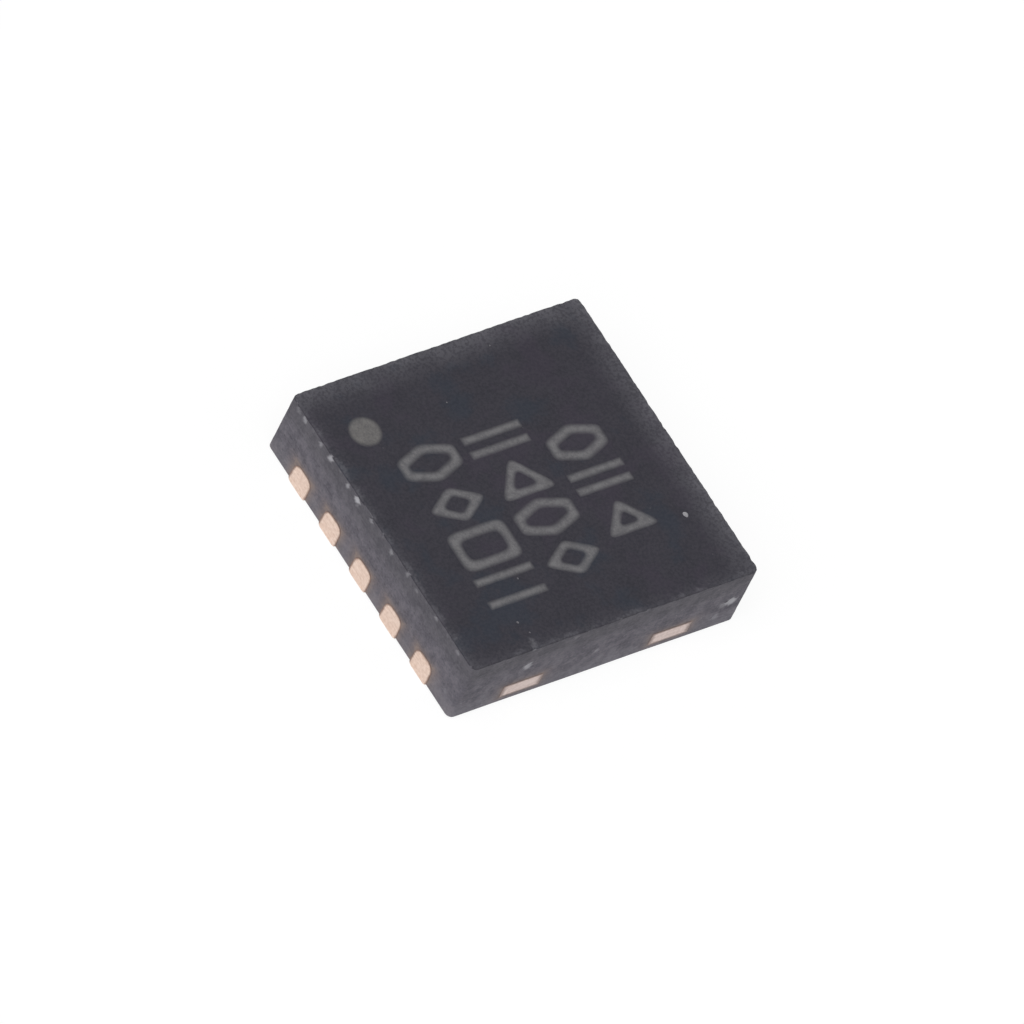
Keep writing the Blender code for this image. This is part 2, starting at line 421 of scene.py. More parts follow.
def new_effect(
    name: str, inputs: dict[str, float], outputs: Sequence[str]
) -> tuple[Graph, bpy.types.Node, bpy.types.Node]:
    """Starts a shader node group.

    Args:
        name: The effect's name.
        inputs: Its inputs with their usual values.
        outputs: Its outputs.

    Returns:
        The group's graph, its input node and its output node.
    """
    tree = bpy.data.node_groups.new(name, "ShaderNodeTree")
    for label, value in inputs.items():
        socket = tree.interface.new_socket(name=label, in_out="INPUT", socket_type="NodeSocketFloat")
        socket.default_value = value
    for label in outputs:
        tree.interface.new_socket(name=label, in_out="OUTPUT", socket_type="NodeSocketFloat")
    graph = Graph(tree)
    return graph, graph.add("NodeGroupInput"), graph.add("NodeGroupOutput")


def scaled_place(graph: Graph, size: object) -> bpy.types.NodeSocket:
    """Counts the object coordinates in steps of a size.

    Args:
        graph: The graph that needs them.
        size: The step, in metres.

    Returns:
        The scaled coordinates.
    """
    node = graph.add("ShaderNodeVectorMath", {0: graph.place()}, operation="SCALE")
    graph.feed(node.inputs["Scale"], graph.maths("DIVIDE", 1.0, size))
    return node.outputs["Vector"]


def grain_effect() -> bpy.types.NodeTree:
    """The fine grain that a spark-eroded mould leaves, with the odd pit between the filler grains.

    Returns:
        The effect, which puts out a tone and a height.
    """
    graph, given, out = new_effect("mould_grain", {"Size": 25 * MICRON, "Pits": 0.4}, ("Tone", "Height"))
    place = scaled_place(graph, given.outputs["Size"])
    settings = {"Vector": place, "Scale": 1.0, "Detail": 4.0, "Roughness": 0.6}
    cloud = graph.add("ShaderNodeTexNoise", settings)
    cells = graph.add("ShaderNodeTexVoronoi", {"Vector": place, "Scale": 0.8})
    pit = graph.ramp(cells.outputs["Distance"], 0.05, 0.45, 1.0, 0.0)
    depth = graph.times(pit, given.outputs["Pits"])
    graph.feed(out.inputs["Tone"], graph.ramp(cloud.outputs["Fac"], 0.3, 0.7))
    graph.feed(out.inputs["Height"], graph.maths("SUBTRACT", cloud.outputs["Fac"], depth))
    return graph.tree


def saw_effect() -> bpy.types.NodeTree:
    """The lines that a dicing blade leaves as it runs level along a wall.

    Returns:
        The effect, which puts out a tone and a height.
    """
    inputs = {"Pitch": 9 * MICRON, "Run": 400 * MICRON}
    graph, given, out = new_effect("saw_lines", inputs, ("Tone", "Height"))
    place = graph.split_place()
    along = graph.maths("ADD", place.outputs["X"], place.outputs["Y"])
    lines = graph.add(
        "ShaderNodeCombineXYZ",
        {
            "X": graph.maths("DIVIDE", along, given.outputs["Run"]),
            "Y": graph.maths("DIVIDE", place.outputs["Z"], given.outputs["Pitch"]),
        },
    )
    settings = {"Vector": lines.outputs["Vector"], "Scale": 1.0, "Detail": 3.0}
    streaks = graph.add("ShaderNodeTexNoise", settings)
    graph.feed(out.inputs["Tone"], graph.ramp(streaks.outputs["Fac"], 0.3, 0.7))
    graph.feed(out.inputs["Height"], streaks.outputs["Fac"])
    return graph.tree


def speck_effect() -> bpy.types.NodeTree:
    """Scattered round specks, such as cut filler grains or dust.

    Returns:
        The effect, which puts out a mask of the specks.
    """
    inputs = {"Spacing": 60 * MICRON, "Radius": 0.25, "Share": 0.3}
    graph, given, out = new_effect("specks", inputs, ("Mask",))
    place = scaled_place(graph, given.outputs["Spacing"])
    cells = graph.add("ShaderNodeTexVoronoi", {"Vector": place, "Scale": 1.0})
    chance = graph.add("ShaderNodeSeparateColor", {"Color": cells.outputs["Color"]}).outputs["Red"]
    chosen = graph.maths("LESS_THAN", chance, given.outputs["Share"])
    size = graph.times(given.outputs["Radius"], graph.maths("ADD", 0.6, chance))
    near = graph.maths("DIVIDE", cells.outputs["Distance"], size)
    graph.feed(out.inputs["Mask"], graph.times(chosen, graph.ramp(near, 0.6, 1.1, 1.0, 0.0)))
    return graph.tree


@dataclass(frozen=True)
class Effects:
    """The shared effects, each built once."""

    grain: bpy.types.NodeTree = field(default_factory=grain_effect)
    saw: bpy.types.NodeTree = field(default_factory=saw_effect)
    specks: bpy.types.NodeTree = field(default_factory=speck_effect)


effects = Effects()


@dataclass(frozen=True)
class Finish:
    """A surface finish, made as a material the first time it is asked for."""

    name: str

    def material(self) -> bpy.types.Material:
        """Finds the finish's material, or makes it.

        Returns:
            The material.
        """
        found = bpy.data.materials.get(self.name)
        if found:
            return found
        made = bpy.data.materials.new(self.name)
        made.use_nodes = True
        shader = made.node_tree.nodes["Principled BSDF"]
        self.paint(Graph(made.node_tree), shader)
        return made

    def paint(self, graph: Graph, shader: bpy.types.Node) -> None:
        """Fills in the finish's nodes."""
        raise NotImplementedError

    @staticmethod
    def bump(graph: Graph, shader: bpy.types.Node, height: object, depth: float) -> None:
        """Feeds a height to the shader's normal.

        Args:
            graph: The material's graph.
            shader: Its Principled BSDF.
            height: The height, from 0 to 1.
            depth: What a height of 1 stands for, in metres.
        """
        relief = graph.add("ShaderNodeBump", {"Height": height, "Distance": depth, "Strength": 1.0})
        graph.feed(shader.inputs["Normal"], relief.outputs["Normal"])


@dataclass(frozen=True)
class MouldedSkin(Finish):
    """Black epoxy as it leaves the mould: matt, faintly mottled, worn paler along its edges."""

    dark: Colour = srgb(32, 31, 39)
    light: Colour = srgb(45, 43, 51)
    cool: Colour = srgb(30, 37, 48)
    warm: Colour = srgb(46, 40, 52)
    worn: Colour = srgb(96, 95, 101)
    speck: Colour = srgb(78, 77, 82)
    roughness: float = 0.62

    def colour(self, graph: Graph) -> tuple[bpy.types.NodeSocket, bpy.types.Node]:
        """Mixes the skin's colour before any mark on it.

        Args:
            graph: The material's graph.

        Returns:
            The colour, and the node of the skin's grain.
        """
        grain = graph.effect(effects.grain, Size=26 * MICRON, Pits=0.35)
        cloud = graph.effect(effects.grain, Size=330 * MICRON, Pits=0.0)
        tone = graph.weigh((grain.outputs["Tone"], 0.55), (cloud.outputs["Tone"], 0.45))
        drift = graph.effect(effects.grain, Size=560 * MICRON, Pits=0.0)
        skin = graph.blend(tone, self.dark, self.light)
        skin = graph.blend(graph.ramp(drift.outputs["Tone"], 0.6, 1.0, 0.0, 0.6), skin, self.cool)
        skin = graph.blend(graph.ramp(drift.outputs["Tone"], 0.0, 0.4, 0.5, 0.0), skin, self.warm)
        dust = graph.effect(effects.specks, Spacing=130 * MICRON, Radius=0.09, Share=0.15)
        return graph.blend(graph.times(dust.outputs["Mask"], 0.5), skin, self.speck), grain

    def paint(self, graph: Graph, shader: bpy.types.Node) -> None:
        """Mottles the skin, pales its edges and chips, and gives it the mould's grain.

        Args:
            graph: The material's graph.
            shader: Its Principled BSDF.
        """
        skin, grain = self.colour(graph)
        tone = grain.outputs["Tone"]
        wear = graph.times(graph.attribute("wear"), graph.ramp(tone, 0.1, 0.7, 0.55, 1.0))
        rough = graph.ramp(tone, 0.0, 1.0, self.roughness + 0.08, self.roughness - 0.06)
        graph.feed(shader.inputs["Base Color"], graph.blend(wear, skin, self.worn))
        graph.feed(shader.inputs["Roughness"], rough)
        shader.inputs["Specular IOR Level"].default_value = 0.3
        self.bump(graph, shader, grain.outputs["Height"], 3 * MICRON)


@dataclass(frozen=True)
class SawnSkin(Finish):
    """Sawn epoxy: paler, streaked by the blade, speckled with cut filler, smeared by the cut copper."""

    dark: Colour = srgb(72, 70, 78)
    light: Colour = srgb(107, 103, 111)
    filler: Colour = srgb(134, 133, 140)
    pore: Colour = srgb(54, 52, 58)
    shaded: Colour = srgb(66, 65, 70)
    smear: Colour = srgb(129, 114, 108)
    chipped: Colour = srgb(164, 163, 168)
    shade_starts: float = 0.42 * MM
    shade_ends: float = 0.64 * MM
    shade_share: float = 0.52
    foot_starts: float = 0.03 * MM
    foot_ends: float = 0.30 * MM
    foot_share: float = 0.24

    def paint(self, graph: Graph, shader: bpy.types.Node) -> None:
        """Lays streaks, cut filler, pores, the copper smear and the pale chips over each other.

        Args:
            graph: The material's graph.
            shader: Its Principled BSDF.
        """
        saw = graph.effect(effects.saw, Pitch=16 * MICRON, Run=420 * MICRON)
        grain = graph.effect(effects.grain, Size=24 * MICRON, Pits=0.5)
        cloud = graph.effect(effects.grain, Size=110 * MICRON, Pits=0.0)
        fine = graph.blend_values(0.68, saw.outputs["Tone"], grain.outputs["Tone"])
        tone = graph.blend_values(0.5, fine, cloud.outputs["Tone"])
        skin = graph.blend(tone, self.dark, self.light)
        filler = graph.effect(effects.specks, Spacing=38 * MICRON, Radius=0.3, Share=0.22)
        skin = graph.blend(graph.times(filler.outputs["Mask"], 0.4), skin, self.filler)
        pores = graph.effect(effects.specks, Spacing=52 * MICRON, Radius=0.26, Share=0.25)
        skin = graph.blend(graph.times(pores.outputs["Mask"], 0.4), skin, self.pore)
        up = graph.split_place().outputs["Z"]
        shade = graph.ramp(up, self.shade_starts, self.shade_ends, 0.0, self.shade_share)
        skin = graph.blend(shade, skin, self.shaded)
        foot = graph.ramp(up, self.foot_starts, self.foot_ends, self.foot_share, 0.0)
        skin = graph.blend(foot, skin, self.filler)
        smear = graph.times(graph.attribute("smear"), graph.ramp(tone, 0.2, 0.75, 0.55, 1.0))
        skin = graph.blend(smear, skin, self.smear)
        skin = graph.blend(graph.ramp(graph.attribute("wear"), 0.05, 1.0), skin, self.chipped)
        graph.feed(shader.inputs["Base Color"], skin)
        graph.feed(shader.inputs["Roughness"], graph.ramp(tone, 0.0, 1.0, 0.82, 0.64))
        shader.inputs["Specular IOR Level"].default_value = 0.3
        relief = graph.maths("ADD", saw.outputs["Height"], graph.times(grain.outputs["Height"], 0.8))
        self.bump(graph, shader, relief, 3 * MICRON)


@dataclass(frozen=True)
class LaserMark(MouldedSkin):
    """Epoxy that the marking laser has foamed pale grey, thinning out towards each stroke's edge."""

    burnt: Colour = srgb(110, 109, 111)

    def paint(self, graph: Graph, shader: bpy.types.Node) -> None:
        """Fades from the bare skin to the burnt grey across a mottled edge.

        Args:
            graph: The material's graph.
            shader: Its Principled BSDF.
        """
        skin, grain = self.colour(graph)
        shots = graph.effect(effects.grain, Size=20 * MICRON, Pits=0.6)
        patch = graph.effect(effects.grain, Size=95 * MICRON, Pits=0.0)
        mottle = graph.weigh((shots.outputs["Tone"], 0.5), (patch.outputs["Tone"], 0.5))
        depth = graph.ramp(graph.attribute("burn"), 0.0, 0.95)
        share = graph.times(depth, graph.ramp(mottle, 0.1, 0.8, 0.66, 1.0))
        graph.feed(shader.inputs["Base Color"], graph.blend(share, skin, self.burnt))
        graph.feed(shader.inputs["Roughness"], graph.ramp(share, 0.0, 1.0, self.roughness, 0.85))
        shader.inputs["Specular IOR Level"].default_value = 0.3
        relief = graph.maths("ADD", grain.outputs["Height"], graph.times(share, shots.outputs["Height"]))
        self.bump(graph, shader, relief, 3 * MICRON)


@dataclass(frozen=True)
class SawnCopper(Finish):
    """Copper cut by the dicing blade: bright and streaked, with a darker brown rim of painted shade along
    its edges where it meets the epoxy.
    """

    bright: Colour = srgb(234, 213, 200)
    dull: Colour = srgb(210, 184, 168)
    # painted shade along the cut's edges, a dark copper brown
    rim: Colour = srgb(138, 114, 104)

    def paint(self, graph: Graph, shader: bpy.types.Node) -> None:
        """Streaks the cut and darkens its rim with painted shade.

        Args:
            graph: The material's graph.
            shader: Its Principled BSDF.
        """
        saw = graph.effect(effects.saw, Pitch=11 * MICRON, Run=260 * MICRON)
        grain = graph.effect(effects.grain, Size=30 * MICRON, Pits=0.2)
        tone = graph.weigh((saw.outputs["Tone"], 0.5), (grain.outputs["Tone"], 0.5))
        metal = graph.blend(tone, self.dull, self.bright)
        # painted shade towards the rim, broken up by the streaks
        near = graph.maths("SUBTRACT", graph.attribute("rim"), graph.times(tone, 0.25))
        rim_shade = graph.ramp(near, 0.0, 0.8)
        graph.feed(shader.inputs["Base Color"], graph.blend(rim_shade, metal, self.rim))
        graph.feed(shader.inputs["Roughness"], graph.ramp(tone, 0.0, 1.0, 0.58, 0.42))
        shader.inputs["Metallic"].default_value = 0.85
        self.bump(graph, shader, saw.outputs["Height"], 2 * MICRON)


@dataclass(frozen=True)
class FrameCopper(Finish):
    """Rolled copper of the lead frame, roughened so that the epoxy grips it."""

    light: Colour = srgb(205, 142, 112)
    dark: Colour = srgb(150, 92, 68)

    def paint(self, graph: Graph, shader: bpy.types.Node) -> None:
        """Clouds the copper with its oxide.

        Args:
            graph: The material's graph.
            shader: Its Principled BSDF.
        """
        grain = graph.effect(effects.grain, Size=14 * MICRON, Pits=0.5)
        cloud = graph.effect(effects.grain, Size=180 * MICRON, Pits=0.0)
        tone = graph.times(grain.outputs["Tone"], cloud.outputs["Tone"])
        graph.feed(shader.inputs["Base Color"], graph.blend(tone, self.dark, self.light))
        graph.feed(shader.inputs["Roughness"], graph.ramp(tone, 0.0, 1.0, 0.6, 0.42))
        shader.inputs["Metallic"].default_value = 1.0
        self.bump(graph, shader, grain.outputs["Height"], 2 * MICRON)


@dataclass(frozen=True)
class MattTin(Finish):
    """Electroplated tin: pale, matt, finely crystalline, with a few rub marks from handling."""

    light: Colour = srgb(214, 211, 205)
    dark: Colour = srgb(176, 173, 168)
    rubbed: Colour = srgb(228, 226, 222)

    def paint(self, graph: Graph, shader: bpy.types.Node) -> None:
        """Clouds the plating and rubs it smoother in patches.

        Args:
            graph: The material's graph.
            shader: Its Principled BSDF.
        """
        crystals = graph.effect(effects.grain, Size=9 * MICRON, Pits=0.5)
        cloud = graph.effect(effects.grain, Size=260 * MICRON, Pits=0.0)
        rubs = graph.effect(effects.grain, Size=75 * MICRON, Pits=0.0)
        tone = graph.weigh((crystals.outputs["Tone"], 0.4), (cloud.outputs["Tone"], 0.6))
        rub = graph.times(graph.ramp(rubs.outputs["Tone"], 0.72, 0.95), 0.6)
        plating = graph.blend(tone, self.dark, self.light)
        graph.feed(shader.inputs["Base Color"], graph.blend(rub, plating, self.rubbed))
        rough = graph.ramp(graph.maths("SUBTRACT", tone, rub), -0.5, 1.0, 0.34, 0.58)
        graph.feed(shader.inputs["Roughness"], rough)
        shader.inputs["Metallic"].default_value = 1.0
        self.bump(graph, shader, crystals.outputs["Height"], 1.6 * MICRON)


@dataclass(frozen=True)
class SilverEpoxy(Finish):
    """Die-attach adhesive: grey epoxy full of silver flakes."""

    resin: Colour = srgb(150, 147, 140)
    flake: Colour = srgb(205, 204, 200)

    def paint(self, graph: Graph, shader: bpy.types.Node) -> None:
        """Scatters the flakes through the resin.

        Args:
            graph: The material's graph.
            shader: Its Principled BSDF.
        """
        flakes = graph.effect(effects.specks, Spacing=16 * MICRON, Radius=0.45, Share=0.6)
        grain = graph.effect(effects.grain, Size=20 * MICRON, Pits=0.3)
        graph.feed(shader.inputs["Base Color"], graph.blend(flakes.outputs["Mask"], self.resin, self.flake))
        graph.feed(shader.inputs["Metallic"], graph.times(flakes.outputs["Mask"], 0.7))
        graph.feed(shader.inputs["Roughness"], graph.ramp(flakes.outputs["Mask"], 0.0, 1.0, 0.65, 0.38))
        self.bump(graph, shader, grain.outputs["Height"], 2 * MICRON)


@dataclass(frozen=True)
class PolishedSilicon(Finish):
    """The die: blue-grey silicon under glass, with blocks of wiring that show as patches of tint."""

    silicon: Colour = srgb(92, 98, 112)
    wiring: Colour = srgb(148, 136, 120)

    def paint(self, graph: Graph, shader: bpy.types.Node) -> None:
        """Lays square blocks of wiring over the silicon.

        Args:
            graph: The material's graph.
            shader: Its Principled BSDF.
        """
        place = scaled_place(graph, 170 * MICRON)
        blocks = graph.add("ShaderNodeTexVoronoi", {"Vector": place, "Scale": 1.0}, distance="CHEBYCHEV")
        tint = graph.add("ShaderNodeSeparateColor", {"Color": blocks.outputs["Color"]}).outputs["Green"]
        lines = graph.effect(effects.saw, Pitch=12 * MICRON, Run=90 * MICRON)
        drawn = graph.ramp(lines.outputs["Tone"], 0.0, 1.0, 0.6, 1.0)
        share = graph.times(graph.ramp(tint, 0.3, 0.8), drawn)
        graph.feed(shader.inputs["Base Color"], graph.blend(share, self.silicon, self.wiring))
        graph.feed(shader.inputs["Roughness"], graph.ramp(share, 0.0, 1.0, 0.14, 0.32))
        shader.inputs["Metallic"].default_value = 0.6
        self.bump(graph, shader, blocks.outputs["Distance"], 1 * MICRON)


@dataclass(frozen=True)
class DrawnGold(Finish):
    """Drawn gold wire, with faint die lines."""

    bright: Colour = srgb(250, 212, 120)
    deep: Colour = srgb(222, 168, 84)

    def paint(self, graph: Graph, shader: bpy.types.Node) -> None:
        """Draws fine lines and a soft change of tone over the gold.

        Args:
            graph: The material's graph.
            shader: Its Principled BSDF.
        """
        grain = graph.effect(effects.grain, Size=12 * MICRON, Pits=0.0)
        graph.feed(shader.inputs["Base Color"], graph.blend(grain.outputs["Tone"], self.deep, self.bright))
        graph.feed(shader.inputs["Roughness"], graph.ramp(grain.outputs["Tone"], 0.0, 1.0, 0.3, 0.2))
        shader.inputs["Metallic"].default_value = 1.0
        self.bump(graph, shader, grain.outputs["Height"], 0.4 * MICRON)


@dataclass(frozen=True)
class FillerGrain(Finish):
    """Loose silica and epoxy dust that clings to the package."""

    pale: Colour = srgb(158, 157, 160)
    grey: Colour = srgb(126, 124, 130)
    faint: Colour = srgb(72, 71, 76)

    def paint(self, graph: Graph, shader: bpy.types.Node) -> None:
        """Varies the grains from pale to grey, and keeps the small ones faint.

        Args:
            graph: The material's graph.
            shader: Its Principled BSDF.
        """
        grain = graph.effect(effects.grain, Size=14 * MICRON, Pits=0.3)
        silica = graph.blend(grain.outputs["Tone"], self.grey, self.pale)
        bright = graph.ramp(graph.attribute("bright"), 0.3, 0.9, 0.1, 1.0)
        graph.feed(shader.inputs["Base Color"], graph.blend(bright, self.faint, silica))
        graph.feed(shader.inputs["Roughness"], graph.ramp(grain.outputs["Tone"], 0.0, 1.0, 0.7, 0.5))
        self.bump(graph, shader, grain.outputs["Height"], 2 * MICRON)


MOULDED = MouldedSkin("moulded_epoxy")
SAWN = SawnSkin("sawn_epoxy")
BURNT = LaserMark("laser_burnt_epoxy")
BURNT_DOT = LaserMark("laser_burnt_dot", burnt=srgb(108, 106, 105))
CUT_COPPER = SawnCopper("sawn_copper")
CUT_TIE_BAR = SawnCopper(
    "sawn_tie_bar",
    bright=srgb(212, 196, 190),
    dull=srgb(188, 171, 165),
    # painted shade along the tie bars' cut edges
    rim=srgb(142, 126, 121),
)
FRAME_COPPER = FrameCopper("frame_copper")
TIN = MattTin("matt_tin")
DUST = FillerGrain("filler_grain")


@dataclass(frozen=True)
class Opening:
    """Where a piece of the lead frame comes out through a wall, in millimetres along it and up it."""

    axis: Axis
    side: int
    wall: float
    along: Pair
    height: Pair
    drag: float = 0.75

    def distance(self, point: Vector) -> float:
        """How far a point of the same wall lies from the opening, or a large number on another wall.

        Args:
            point: A point on the moulding's surface.

        Returns:
            The distance in millimetres. Level ones count for less, because the blade drags copper along.
        """
        if point[self.axis.value] * self.side < self.wall - NEAR_WALL:
            return FAR_AWAY
        along = point[1 - self.axis.value]
        level = max(self.along[0] - along, along - self.along[1], 0.0)
        upright = max(self.height[0] - point.z, point.z - self.height[1], 0.0)
        return hypot(level * self.drag, upright)


@dataclass(frozen=True)
class Burr:
    """How far the blade has drawn a piece's cut end out over the epoxy, in millimetres.

    Leaning is the share of the level reach that is lost towards the end's upper side.
    """

    before: float
    after: float
    down: float
    up: float
    leaning: float = 0.0

    def cover(self, opening: Opening) -> Opening:
        """What the drawn end covers of the wall.

        Args:
            opening: The opening that the end came out of.

        Returns:
            The opening, widened by the burr.
        """
        low, high = opening.along
        bottom, top = opening.height
        return replace(
            opening,
            along=(low - self.before, high + self.after),
            height=(bottom - self.down, top + self.up),
        )


TERMINAL_BURR = Burr(before=0.004, after=0.0165, down=0.0, up=0.003, leaning=0.85)
TIE_BAR_BURR = Burr(before=0.030, after=0.0, down=0.028, up=0.004)


def terminal_names() -> list[str]:
    """The CAD nodes of the terminals."""
    return sorted(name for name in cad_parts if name.startswith("terminal_"))


def opening_of(node: str, axis: Axis, side: int, half: int = 0) -> Opening:
    """Where a CAD node comes out through a wall, read from its own sawn end.

    Args:
        node: The CAD node.
        axis: The axis that the wall is square to.
        side: 1 for the wall on the positive side, and -1 for the other.
        half: 1 or -1 to read only the end on that side of the middle, and 0 to read all.

    Returns:
        The opening.
    """
    wall = Box.of_node("mold_body").high[axis.value]
    corners = [vertex.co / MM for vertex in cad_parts[node].data.vertices]
    across = 1 - axis.value
    end = [p for p in corners if p[axis.value] * side > wall - ON_SURFACE and p[across] * half >= 0]
    along = [p[across] for p in end]
    upward = [p.z for p in end]
    return Opening(axis, side, wall, (min(along), max(along)), (min(upward), max(upward)))


def terminal_opening(name: str) -> Opening:
    """Where a terminal comes out."""
    return opening_of(name, Axis.X, 1 if Box.of_node(name).middle.x > 0 else -1)


def tie_bar_openings() -> list[Opening]:
    """Where the die pad's tie bars come out."""
    return [opening_of("die_pad", Axis.Y, side, half) for side in (-1, 1) for half in (-1, 1)]


def all_openings() -> list[Opening]:
    """What the cut ends of the terminals and the tie bars cover of the walls, burrs included."""
    terminals = [TERMINAL_BURR.cover(terminal_opening(name)) for name in terminal_names()]
    return terminals + [TIE_BAR_BURR.cover(opening) for opening in tie_bar_openings()]


@dataclass(frozen=True)
class Chip:
    """A small piece broken out of the moulding, in millimetres."""

    place: Vector
    radius: float
    paleness: float
    raggedness: float = 0.6
    ragged_size: float = 0.02
    fullness: float = 1.3

    def dent(self, point: Vector) -> float:
        """How deep the chip is at a point, with an uneven outline.

        Args:
            point: A point on the moulding's surface.

        Returns:
            The depth's share, from 0 to 1.
        """
        uneven = 1 + self.raggedness * noise.noise(point / self.ragged_size)
        reach = (point - self.place).length / self.radius * uneven
        return max(0.0, 1.0 - reach * reach)

    def wear(self, dent: float) -> float:
        """How pale the chip makes a point that it dents."""
        return self.paleness * min(1.0, dent * self.fullness)


@dataclass
class Moulding:
    """The black moulded body, with its sawn walls and everything that saw and handling did to it."""

    corner_radius: float = 0.06
    edge_radius: float = 0.02
    cell: float = 0.02
    top_sink: float = 0.0035
    top_grain: float = 0.0012
    grain_size: float = 0.07
    wall_sink: float = 0.0030
    wall_grain: float = 0.0022
    saw_pitch: float = 0.075
    saw_slope: float = 1.5
    ragged_depth: float = 0.012
    ragged_size: float = 0.05
    ragged_share: float = 0.2
    ragged_band: float = 0.04
    ragged_wear: float = 0.12
    wander_size: float = 0.11
    wander_detail: float = 0.03
    wander_detail_share: float = 0.5
    wander_start: float = 0.35
    wander_reach: float = 0.07
    wander_least: float = 0.01
    wander_border: float = 0.03
    wander_wear: float = 0.46
    rub_near: Pair = (0.16, 0.20)
    rub_far: Pair = (0.32, 0.66)
    rub_patch: float = 0.16
    rub_patchiness: float = 0.5
    rub_overlap: float = 0.6
    rub_curve: float = 1.5
    chips_below: float = 0.016
    chip_steepness: float = 0.25
    smear_reach: float = 0.030
    film: float = 0.26
    film_height: float = 0.2
    film_share: float = 0.7
    film_patch: float = 0.09
    film_patchiness: float = 0.6
    inside: float = 0.005
    skin_depth: float = 0.0016
    closing: float = 0.0027
    closing_rounds: int = 8
    box: Box = field(default_factory=lambda: Box.of_node("mold_body"))
    openings: list[Opening] = field(default_factory=all_openings)

    def chips(self) -> list[Chip]:
        """Lays out the chips that show, mostly under the top edge of the wall at -X.

        Returns:
            The chips.
        """
        wall = self.box.high.x
        end = -self.box.high.y
        under_edge = (
            (1.365, 0.703, 0.040, 0.35), (1.259, 0.707, 0.042, 0.60), (1.120, 0.722, 0.022, 0.30),
            (0.996, 0.706, 0.034, 0.50), (0.836, 0.712, 0.040, 0.80), (0.690, 0.728, 0.020, 0.30),
            (0.554, 0.698, 0.036, 0.60), (0.390, 0.696, 0.046, 1.00), (0.165, 0.704, 0.036, 0.50),
            (-0.020, 0.722, 0.024, 0.25), (-0.173, 0.698, 0.036, 0.50), (-0.425, 0.716, 0.034, 0.45),
            (-0.585, 0.700, 0.030, 0.40), (-0.740, 0.724, 0.022, 0.25), (-0.898, 0.712, 0.034, 0.45),
            (-1.090, 0.716, 0.026, 0.30), (-1.260, 0.702, 0.036, 0.40),
        )
        chips = [
            Chip(Vector((-wall, along, up - self.chips_below)), radius, pale)
            for along, up, radius, pale in under_edge
        ]
        on_front = (
            (-0.83, 0.47, 0.055, 0.80), (1.345, 0.348, 0.072, 0.95), (1.275, 0.32, 0.060, 0.45),
            (1.245, 0.165, 0.055, 0.45), (-0.05, 0.31, 0.040, 0.40), (-0.39, 0.68, 0.040, 0.35),
            (-0.85, 0.735, 0.030, 0.45), (0.33, 0.70, 0.036, 0.25),
        )
        chips += [Chip(Vector((across, end, up)), radius, pale) for across, up, radius, pale in on_front]
        chips.append(Chip(Vector((-wall, -1.33, 0.21)), 0.036, 0.30))
        top = self.box.high.z
        on_top = (
            (-0.830, -1.405, 0.030, 0.55), (-0.838, -1.437, 0.034, 0.65), (-0.846, -1.472, 0.034, 0.65),
        )
        chips += [
            Chip(Vector((across, along, top)), radius, pale) for across, along, radius, pale in on_top
        ]
        return chips

    def outward(self, point: Vector) -> tuple[Vector, float]:
        """The direction out of the rounded block at a point, and how far outside the block it lies.

        Args:
            point: A point near the block's surface.

        Returns:
            The unit normal and the signed distance in millimetres.
        """
        half = self.box.size / 2
        middle = self.box.middle
        across = Vector((point.x - middle.x, point.y - middle.y))
        past_x = max(abs(across.x) - (half.x - self.corner_radius), 0.0)
        past_y = max(abs(across.y) - (half.y - self.corner_radius), 0.0)
        corner = hypot(past_x, past_y)
        plan = corner - self.corner_radius
        if corner > 0:
            signs = 1 if across.x > 0 else -1, 1 if across.y > 0 else -1
            away = Vector((past_x * signs[0], past_y * signs[1], 0.0)) / corner
        else:
            away = Vector((0.0, 0.0, 0.0))
        inner = max(plan + self.edge_radius, 0.0)
        above = max(point.z - (self.box.high.z - self.edge_radius), 0.0)
        rounding = hypot(inner, above)
        if rounding == 0.0:
            return Vector((0.0, 0.0, 0.0)), plan
        return (away * inner + Vector((0.0, 0.0, above))) / rounding, rounding - self.edge_radius

    def on_skin(self, point: Vector) -> bool:
        """Whether a point lies on the block's outside, under it included."""
        _, distance = self.outward(point)
        return abs(distance) < ON_SURFACE or point.z < self.box.low.z + ON_SURFACE

    def in_pocket(self, face: bmesh.types.BMFace) -> bool:
        """Whether a face belongs to a pocket, and so reaches well inside the block."""
        above = self.box.low.z + self.inside
        return any(self.outward(c.co)[1] < -self.inside and c.co.z > above for c in face.verts)

    def cut(self) -> Workpiece:
        """Copies the CAD moulding with its pockets, and cuts its outside into small cells.

        Returns:
            The cut moulding.
        """
        piece = Workpiece.from_node("mold_body", "moulding")
        low, high = self.box.low, self.box.high
        with piece.editing():
            piece.pick(Element.FACE, lambda face: not all(self.on_skin(c.co) for c in face.verts))
            bpy.ops.mesh.hide(unselected=False)
            piece.slice(Axis.Z, steps(low.z, high.z - self.edge_radius, self.cell))
            piece.slice(Axis.X, steps(low.x, high.x, self.cell))
            piece.slice(Axis.Y, steps(low.y, high.y, self.cell))
            bpy.ops.mesh.reveal(select=False)
        return piece

    def close_pockets(self, piece: Workpiece) -> None:
        """Brings the pockets' walls up to the cast-in pieces, so that no light falls between them.

        Args:
            piece: The cut moulding.
        """
        mesh = bmesh.new()
        mesh.from_mesh(piece.obj.data)
        mesh.normal_update()
        facing: dict[bmesh.types.BMVert, list[Vector]] = {}
        for face in mesh.faces:
            if self.in_pocket(face):
                for corner in face.verts:
                    facing.setdefault(corner, []).append(face.normal.copy())
        for corner, normals in facing.items():
            shift = Vector()
            for _ in range(self.closing_rounds):
                for normal in normals:
                    shift += normal * (self.closing - shift.dot(normal))
            corner.co += shift
        mesh.to_mesh(piece.obj.data)
        mesh.free()

